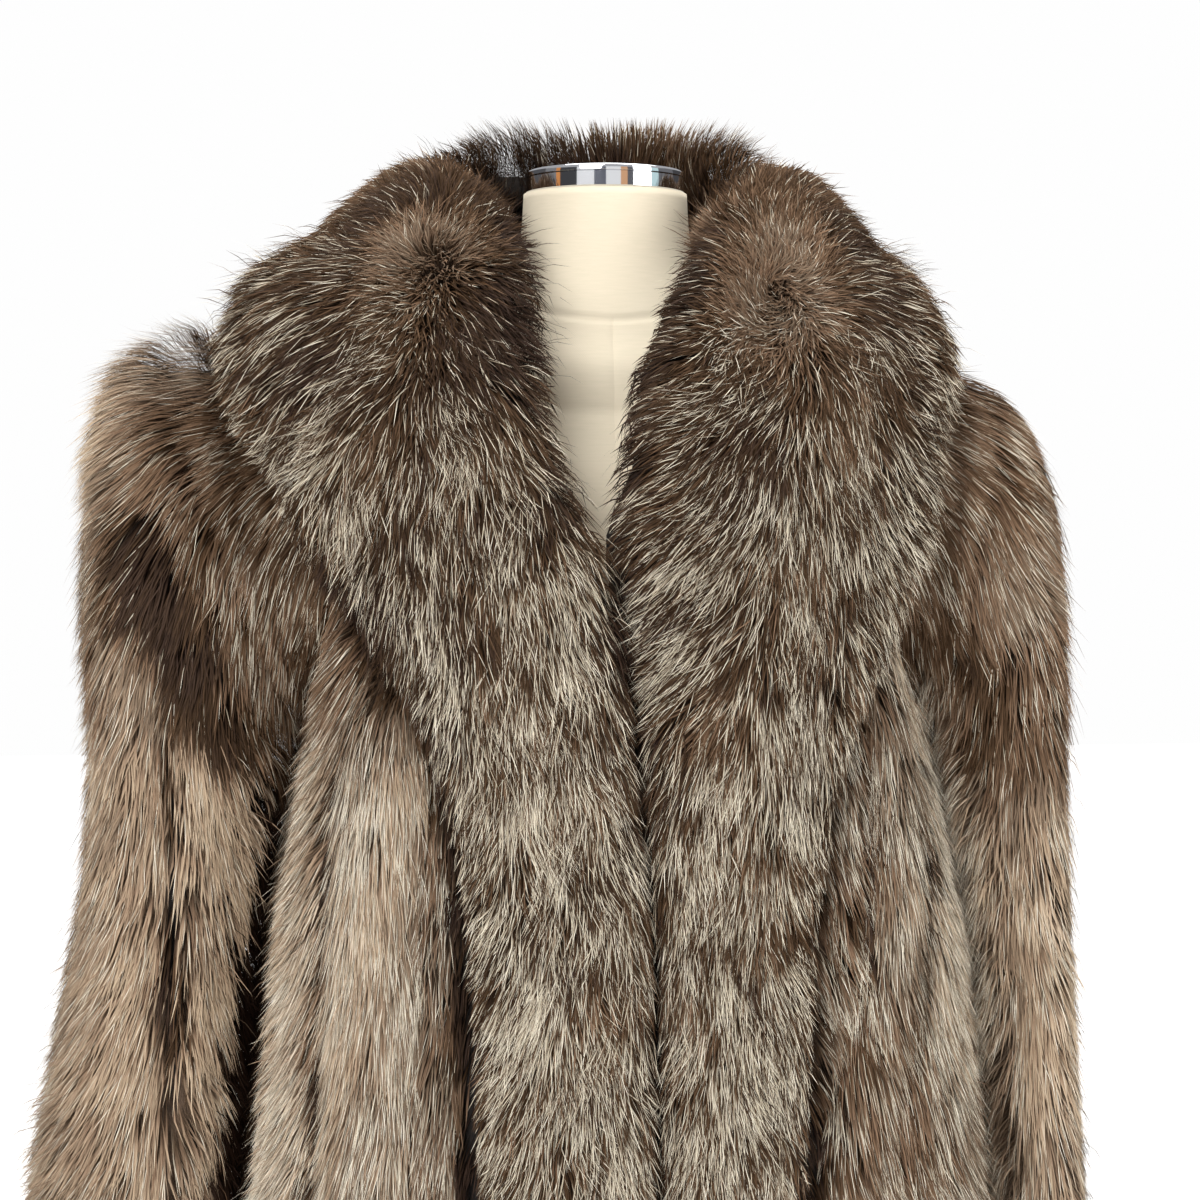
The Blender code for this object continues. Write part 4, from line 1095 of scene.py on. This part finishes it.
def underfur_material():
    """Dense woolly underfur between the guard hairs: matt, mottled, in the hairs' own colours."""
    made, shader = new_material("fur_underfur")
    place = add_node(made, "ShaderNodeTexCoord")
    fine = add_node(made, "ShaderNodeMapping", {"Scale": (900, 900, 260)},
                    {"Vector": place.outputs["Object"]})
    noise = add_node(made, "ShaderNodeTexNoise", {"Scale": 1.0, "Detail": 2.0},
                     {"Vector": fine.outputs[0]})
    tone = add_node(made, "ShaderNodeAttribute", {"attribute_name": "tone"})
    ramp = add_node(made, "ShaderNodeValToRGB", links={0: tone.outputs["Fac"]})
    set_ramp(ramp, [(i / len(TONES), row.underfur) for i, row in enumerate(TONES[:FROSTED])])
    shade = add_node(made, "ShaderNodeMapRange",
                     {"From Min": 0.3, "From Max": 0.7, "To Min": 0.55, "To Max": 1.25},
                     {"Value": noise.outputs["Fac"]})
    mottled = add_node(made, "ShaderNodeMix",
                       {"data_type": "RGBA", "blend_type": "MULTIPLY", MIX_FACTOR: 1.0},
                       {MIX_A: ramp.outputs["Color"], MIX_B: shade.outputs[0]})
    bump = add_node(made, "ShaderNodeBump", {"Strength": 0.8, "Distance": 0.002},
                    {"Height": noise.outputs["Fac"]})
    link = made.node_tree.links.new
    link(mottled.outputs[MIX_RESULT], shader.inputs["Base Color"])
    link(bump.outputs[0], shader.inputs["Normal"])
    shader.inputs["Roughness"].default_value = 0.95
    return made


def suede_material():
    """Flesh side of a tanned pelt: suede, matt and slightly mottled."""
    made, shader = new_material("tanned_suede")
    place = add_node(made, "ShaderNodeTexCoord")
    noise = add_node(made, "ShaderNodeTexNoise", {"Scale": 45.0, "Detail": 6.0},
                     {"Vector": place.outputs["Object"]})
    ramp = add_node(made, "ShaderNodeValToRGB", links={0: noise.outputs["Fac"]})
    set_ramp(ramp, [(0.3, "#8d7357"), (0.7, "#b19674")])
    made.node_tree.links.new(ramp.outputs["Color"], shader.inputs["Base Color"])
    shader.inputs["Roughness"].default_value = 0.9
    return made


THREAD = 0.0011              # from one thread of the linen to the next, a little coarser than real


def linen_material():
    """Plain-woven linen, stretched over the form: matt, cream, with uneven threads."""
    made, shader = new_material("woven_linen")
    weave = add_node(made, "ShaderNodeUVMap", {"uv_map": "weave"})
    split = add_node(made, "ShaderNodeSeparateXYZ", links={0: weave.outputs["UV"]})
    ways = []
    for axis in ("X", "Y"):
        turn = add_node(made, "ShaderNodeMath", {"operation": "MULTIPLY", 1: 2 * pi / THREAD},
                        {0: split.outputs[axis]})
        way = add_node(made, "ShaderNodeMath", {"operation": "SINE"}, {0: turn.outputs[0]})
        ways.append(way.outputs[0])
    both = add_node(made, "ShaderNodeMath", {"operation": "MULTIPLY"}, {0: ways[0], 1: ways[1]})
    stretch = add_node(made, "ShaderNodeMapping", {"Scale": (60, 700, 1)},
                       {"Vector": weave.outputs["UV"]})
    slub = add_node(made, "ShaderNodeTexNoise", {"Scale": 1.0, "Detail": 2.0},
                    {"Vector": stretch.outputs[0]})
    ramp = add_node(made, "ShaderNodeValToRGB", links={0: slub.outputs["Fac"]})
    set_ramp(ramp, [(0.3, "#d3c8b0"), (0.7, "#d8ccb5")])
    height = add_node(made, "ShaderNodeMath", {"operation": "MULTIPLY_ADD", 1: 0.5},
                      {0: both.outputs[0], 2: slub.outputs["Fac"]})
    bump = add_node(made, "ShaderNodeBump", {"Strength": 0.2, "Distance": 0.0003},
                    {"Height": height.outputs[0]})
    link = made.node_tree.links.new
    link(ramp.outputs["Color"], shader.inputs["Base Color"])
    link(bump.outputs[0], shader.inputs["Normal"])
    shader.inputs["Roughness"].default_value = 0.85
    return made


def metal_material(name, colour, roughness, grain):
    """Metal with fine marks; grain is the marks' stretch along the axes."""
    made, shader = new_material(name)
    place = add_node(made, "ShaderNodeTexCoord")
    stretch = add_node(made, "ShaderNodeMapping", {"Scale": grain},
                       {"Vector": place.outputs["Object"]})
    noise = add_node(made, "ShaderNodeTexNoise", {"Scale": 1.0, "Detail": 3.0},
                     {"Vector": stretch.outputs[0]})
    bump = add_node(made, "ShaderNodeBump", {"Strength": 0.05, "Distance": 0.0002},
                    {"Height": noise.outputs["Fac"]})
    made.node_tree.links.new(bump.outputs[0], shader.inputs["Normal"])
    shader.inputs["Base Color"].default_value = linear(colour)
    shader.inputs["Metallic"].default_value = 1.0
    shader.inputs["Roughness"].default_value = roughness
    return made


# ---- the dress form ----------------------------------------------------------------------------
NECK_SEAM, CHEST_SEAM = 10.45, 7.1    # in rings from the form's floor
SEAM_SUNK = 0.0005
WEAVE_RADIUS = 0.075         # of the form where the threads round it have their true width


def form_rings(turn):
    """Rings of the form from its floor to the top of its neck, as its solid has them."""
    rings = []
    for row in TORSO:
        rings.append(ring_points(*row, turn))
    for level in (8.0, 8.5, 9.0):
        free = 1 - soft((abs(np.sin(turn)) - 0.80) / 0.18)
        gap = (SHOULDER_GAP + CHEST_GAP * free)[:, None]
        rings.append(leather(turn, level) - leather_normal(turn, np.array(level)) * gap)
    for row in NECK:
        face = np.cos(turn)
        level = np.where(face > 0, row.z_front, row.z_back)
        height = row.z_side + (level - row.z_side) * face * face
        rings.append(np.stack([row.half * np.sin(turn), -row.half * face, height], -1))
    return np.array(rings)


def form_grid():
    """Points of the form's cover from its floor up, with its seams sunk in."""
    beside = radians(0.7)
    by_front_seam = [-beside, beside, -beside / 3, beside / 3]
    turn = np.sort(np.concatenate([np.linspace(-pi, pi, 97)[:-1], by_front_seam]))
    rings = form_rings(turn)
    at = [np.linspace(0, len(rings) - 1, 118)]
    at += [seam + np.array([-0.06, -0.02, 0.0, 0.02, 0.06]) for seam in (NECK_SEAM, CHEST_SEAM)]
    at = np.sort(np.concatenate(at))
    low = np.minimum(at.astype(int), len(rings) - 2)
    t = (at - low)[:, None, None]
    grid = rings[low] * (1 - t) + rings[low + 1] * t
    for _ in range(30):
        grid[1:-1] = grid[1:-1] * 0.5 + (grid[:-2] + grid[2:]) * 0.25
    across = np.roll(grid, -1, axis=1) - np.roll(grid, 1, axis=1)
    along = np.gradient(grid, axis=0)
    inward = -unit(np.cross(across, along))
    below = (at < NECK_SEAM)[:, None]
    sink = SEAM_SUNK * np.exp(-(turn / radians(0.45)) ** 2)[None, :] * below
    for seam, depth in ((NECK_SEAM, 2 * SEAM_SUNK), (CHEST_SEAM, SEAM_SUNK)):
        sink = sink + depth * np.exp(-((at - seam) / 0.035) ** 2)[:, None]
    return grid + inward * sink[..., None]


def add_form(linen):
    """The form's linen cover, with seams down the front and round the neck and chest."""
    grid = form_grid()
    rows, columns = grid.shape[:2]
    floor, top = grid[0].mean(0), grid[-1].mean(0)
    points = np.concatenate([grid.reshape(-1, 3), [floor, top]])
    faces = grid_faces(rows, columns, 0, True)
    made = mesh_object("form_cover", points, faces, linen)
    bm = bmesh.new()
    bm.from_mesh(made.data)
    bm.verts.ensure_lookup_table()
    for centre, first in ((rows * columns, 0), (rows * columns + 1, (rows - 1) * columns)):
        for k in range(columns):
            after = (k + 1) % columns
            bm.faces.new((bm.verts[centre], bm.verts[first + k], bm.verts[first + after]))
    bmesh.ops.recalc_face_normals(bm, faces=bm.faces[:])
    weave = bm.loops.layers.uv.new("weave")
    for face in bm.faces:
        for loop in face.loops:
            p = loop.vert.co
            loop[weave].uv = (np.arctan2(p.x, -p.y) * WEAVE_RADIUS, p.z)
    bm.to_mesh(made.data)
    bm.free()
    made.data.shade_smooth()
    return made


def turned_piece(name, profile, finish, steps=96):
    """A closed profile of (radius, height) points, spun about Z in edit mode."""
    bpy.ops.mesh.primitive_plane_add(size=0.01, location=(0, 0, 0))
    made = bpy.context.object
    made.name = made.data.name = name
    bm = bmesh.new()
    points = [bm.verts.new((radius, 0, height)) for radius, height in profile]
    for low, high in zip(points, points[1:]):
        bm.edges.new((low, high))
    bm.to_mesh(made.data)
    bm.free()
    bpy.ops.object.mode_set(mode="EDIT")
    bpy.ops.mesh.select_all(action="SELECT")
    bpy.ops.mesh.spin(steps=steps, angle=2 * pi, center=(0, 0, 0), axis=(0, 0, 1))
    bpy.ops.mesh.select_all(action="SELECT")
    bpy.ops.mesh.remove_doubles(threshold=0.00002)
    bpy.ops.mesh.normals_make_consistent(inside=False)
    bpy.ops.object.mode_set(mode="OBJECT")
    bpy.ops.object.shade_smooth_by_angle(angle=radians(35))
    made.data.materials.append(finish)
    made.select_set(False)
    return made


def rounded(radius, height, bevel, steps=4):
    """Points of a rounded corner, from the side up to the top."""
    turns = [pi / 2 * i / steps for i in range(steps + 1)]
    return [(radius - bevel + bevel * cos(t), height - bevel + bevel * sin(t)) for t in turns]


def add_cap(chrome):
    """The neck cap: a chrome drum with a rounded rim, a fine line near it and a low dome."""
    floor = NECK[-1].z_side + SEAM
    profile = [(0.0, floor), (CAP_RADIUS - 0.0008, floor), (CAP_RADIUS, floor + 0.0008)]
    profile += [(CAP_RADIUS, CAP_TOP - 0.0052), (CAP_RADIUS - 0.0005, CAP_TOP - 0.0047)]
    profile += [(CAP_RADIUS, CAP_TOP - 0.0042)]
    profile += rounded(CAP_RADIUS, CAP_TOP, 0.0016)
    profile += [(CAP_RADIUS * 0.8, CAP_TOP + 0.0002), (CAP_RADIUS * 0.4, CAP_TOP + 0.0004)]
    profile += [(0.0, CAP_TOP + 0.0004)]
    return turned_piece("neck_cap_chrome", profile, chrome)


def add_stand(steel):
    """The pole, with a wide flange under the form, and the round base with the pole's boss."""
    boss = BASE_HEIGHT + 0.030
    flange = POLE_RADIUS * 3.2
    pole = [(0.0, boss + SEAM), (POLE_RADIUS, boss + SEAM), (POLE_RADIUS, FORM_FLOOR - 0.024)]
    pole += [(POLE_RADIUS * 1.7, FORM_FLOOR - 0.020), (POLE_RADIUS * 2.9, FORM_FLOOR - 0.008)]
    pole += [(flange, FORM_FLOOR - 0.006), (flange, FORM_FLOOR - SEAM), (0.0, FORM_FLOOR - SEAM)]
    base = [(0.0, 0.0), (BASE_RADIUS - 0.001, 0.0), (BASE_RADIUS, 0.001)]
    base += rounded(BASE_RADIUS, BASE_HEIGHT, 0.004)
    base += [(POLE_RADIUS * 2.6, BASE_HEIGHT + 0.004), (POLE_RADIUS * 2.1, BASE_HEIGHT + 0.012)]
    base += rounded(POLE_RADIUS * 1.9, boss, 0.002)
    base += [(0.0, boss)]
    return turned_piece("pole_steel", pole, steel), turned_piece("base_steel", base, steel)


# ---- putting it together -----------------------------------------------------------------------
# A piece has its solid and slot, its field, how many hairs grow on it and how wide they are, how
# unruly they are in degrees, how calm their heights are from 0 to 1, and its flat size and area.
Piece = namedtuple("Piece", "node slot field hairs width unruly calm flat area")
PIECES = (
    Piece("coat_back", "pelt_body",
          back_field(),
          50000, 0.0013, 5, 1.0, (0.78, 0.96), 0.60),
    Piece("coat_front_right", "pelt_body",
          front_field(-1, FRONT_RIGHT_PELTS, PATCHES_FRONT_RIGHT),
          38000, 0.0010, 5, 0.6, (0.41, 0.94), 0.28),
    Piece("coat_front_left", "pelt_body",
          front_field(1, FRONT_LEFT_PELTS, PATCHES_FRONT_LEFT),
          38000, 0.0010, 5, 0.5, (0.39, 0.94), 0.28),
    Piece("sleeve_right", "pelt_sleeve",
          sleeve_field(-1, SLEEVE_RIGHT, SLEEVE_RIGHT_PELTS, PATCHES_RIGHT, SWELL_RIGHT),
          62000, 0.0010, 5, 1.0, (0.69, 0.64), 0.28),
    Piece("sleeve_left", "pelt_sleeve",
          sleeve_field(1, SLEEVE_LEFT, SLEEVE_LEFT_PELTS, PATCHES_LEFT, SWELL_LEFT),
          62000, 0.0010, 5, 0.7, (0.67, 0.63), 0.26),
    Piece("collar_right", "pelt_collar",
          collar_field(-1, LAY_RIGHT, HALF_RIGHT),
          98000, 0.0011, 10, 0.0, (0.28, 1.36), 0.22),
    Piece("collar_left", "pelt_collar",
          collar_field(1, LAY_LEFT, HALF_LEFT),
          98000, 0.0011, 10, 0.0, (0.28, 1.34), 0.21),
)
FIRST_SEED = 11


def add_coat():
    hair, underfur, suede = hair_material(), underfur_material(), suede_material()
    for seed, piece in enumerate(PIECES, FIRST_SEED):
        pelt = add_pelt(piece.node + "_pelt", piece.field, underfur, suede)
        fur = grow(piece.node + "_fur", piece.field, piece.hairs, hair, seed, piece.width,
                   radians(piece.unruly), piece.calm)
        for part in (pelt, fur):
            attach(part, "root")
        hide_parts(piece.node)


def add_dress_form():
    cover = add_form(linen_material())
    chrome = metal_material("polished_chrome", "#d9dadd", 0.06, (60, 60, 60))
    steel = metal_material("brushed_steel", "#a7a8aa", 0.32, (30, 30, 4000))
    cap = add_cap(chrome)
    pole, base = add_stand(steel)
    parts = ((cover, "form_body", "linen"), (cap, "form_neck_cap", "chrome"),
             (pole, "stand_pole", "steel"), (base, "stand_base", "steel"))
    for part, node, slot in parts:
        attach(part, "root")
        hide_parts(node)


# ---- camera, floor and lights ------------------------------------------------------------------
CAMERA_DISTANCE = 1.5        # from the middle of the form's neck
CAMERA_TURN = radians(4)     # to the wearer's right of straight ahead
CAMERA_TILT = radians(-4.55)
CAMERA_HEIGHT = 1.31
CAMERA_ASIDE = -0.0037
SENSOR = 36.0
LENS = SENSOR * 2049 / 1200  # focal length that gives the coat's size in the frame


def add_camera():
    data = bpy.data.cameras.new("camera")
    data.sensor_width = SENSOR
    data.lens = LENS
    camera = bpy.data.objects.new("camera", data)
    camera.location = (CAMERA_ASIDE - CAMERA_DISTANCE * sin(CAMERA_TURN),
                       -CAMERA_DISTANCE * cos(CAMERA_TURN), CAMERA_HEIGHT)
    camera.rotation_euler = (pi / 2 + CAMERA_TILT, 0, -CAMERA_TURN)
    bpy.context.scene.collection.objects.link(camera)
    bpy.context.scene.camera = camera


def add_light(name, place, aim, size, power):
    data = bpy.data.lights.new(name, "AREA")
    data.shape = "RECTANGLE"
    data.size, data.size_y = size
    data.energy = power
    made = bpy.data.objects.new(name, data)
    made.location = place
    made.rotation_euler = (Vector(aim) - Vector(place)).to_track_quat("-Z", "Y").to_euler()
    bpy.context.scene.collection.objects.link(made)


# What the polished cap mirrors: upright bands of a room, by degrees to the wearer's left of ahead.
Band = namedtuple("Band", "start colour")
BANDS = (
    Band(-180, "#5a5a5c"),
    Band(-100, "#8b8b8d"),
    Band(-79, "#e59a5c"),
    Band(-73, "#4a4a4c"),
    Band(-46, "#ffffff"),
    Band(-20, "#70727c"),
    Band(-4, "#ffffff"),
    Band(17, "#e8b48a"),
    Band(27, "#6c6c70"),
    Band(60, "#d8f4f6"),
    Band(78, "#77777a"),
    Band(110, "#4c4c4e"),
)


def add_surroundings():
    """White behind the coat, soft grey light from all round, and bands for the metal to mirror."""
    world = bpy.data.worlds.new("studio")
    world.use_nodes = True
    place = add_node(world, "ShaderNodeTexCoord")
    split = add_node(world, "ShaderNodeSeparateXYZ", links={0: place.outputs["Generated"]})
    ahead = add_node(world, "ShaderNodeMath", {"operation": "MULTIPLY", 1: -1},
                     {0: split.outputs["Y"]})
    turn = add_node(world, "ShaderNodeMath", {"operation": "ARCTAN2"},
                    {0: split.outputs["X"], 1: ahead.outputs[0]})
    share = add_node(world, "ShaderNodeMapRange", {"From Min": -pi, "From Max": pi},
                     {"Value": turn.outputs[0]})
    bands = add_node(world, "ShaderNodeValToRGB", links={0: share.outputs[0]})
    set_ramp(bands, [((band.start + 180) / 360, band.colour) for band in BANDS])
    bands.color_ramp.interpolation = "CONSTANT"
    level = add_node(world, "ShaderNodeMath", {"operation": "COMPARE", 1: 0.0, 2: 0.25},
                     {0: split.outputs["Z"]})
    near = add_node(world, "ShaderNodeMix", {"data_type": "RGBA", MIX_A: linear("#bcbcbe")},
                    {MIX_FACTOR: level.outputs[0], MIX_B: bands.outputs["Color"]})
    rays = add_node(world, "ShaderNodeLightPath")
    seen = add_node(world, "ShaderNodeMix", {"data_type": "RGBA", MIX_B: linear("#fefefe")},
                    {MIX_FACTOR: rays.outputs["Is Camera Ray"], MIX_A: near.outputs[MIX_RESULT]})
    sky = world.node_tree.nodes["Background"]
    world.node_tree.links.new(seen.outputs[MIX_RESULT], sky.inputs["Color"])
    bpy.context.scene.world = world


def add_studio():
    """Pale floor and a soft key from the front left, with a weaker fill and a light overhead."""
    bpy.ops.mesh.primitive_plane_add(size=14, location=(0, 0, 0))
    floor = bpy.context.object
    floor.name = "floor"
    made, shader = new_material("studio_floor")
    shader.inputs["Base Color"].default_value = linear("#f2f2f1")
    shader.inputs["Roughness"].default_value = 0.8
    shader.inputs["Emission Color"].default_value = linear("#ffffff")
    rays = add_node(made, "ShaderNodeLightPath")
    glow = add_node(made, "ShaderNodeMapRange", {"To Min": 0.42, "To Max": 0.80},
                    {"Value": rays.outputs["Is Camera Ray"]})
    made.node_tree.links.new(glow.outputs[0], shader.inputs["Emission Strength"])
    floor.data.materials.append(made)
    chest = (0, 0, 1.15)
    add_light("key", (-1.1, -2.4, 2.7), chest, (1.6, 1.6), 84)
    add_light("fill", (2.2, -1.8, 1.7), chest, (1.4, 1.8), 32)
    add_light("overhead", (0.2, 0.3, 3.0), (0, 0, 1.3), (1.8, 1.2), 40)
    add_surroundings()
    bpy.context.scene.view_settings.view_transform = "Standard"


add_camera()
add_coat()
add_dress_form()
add_studio()
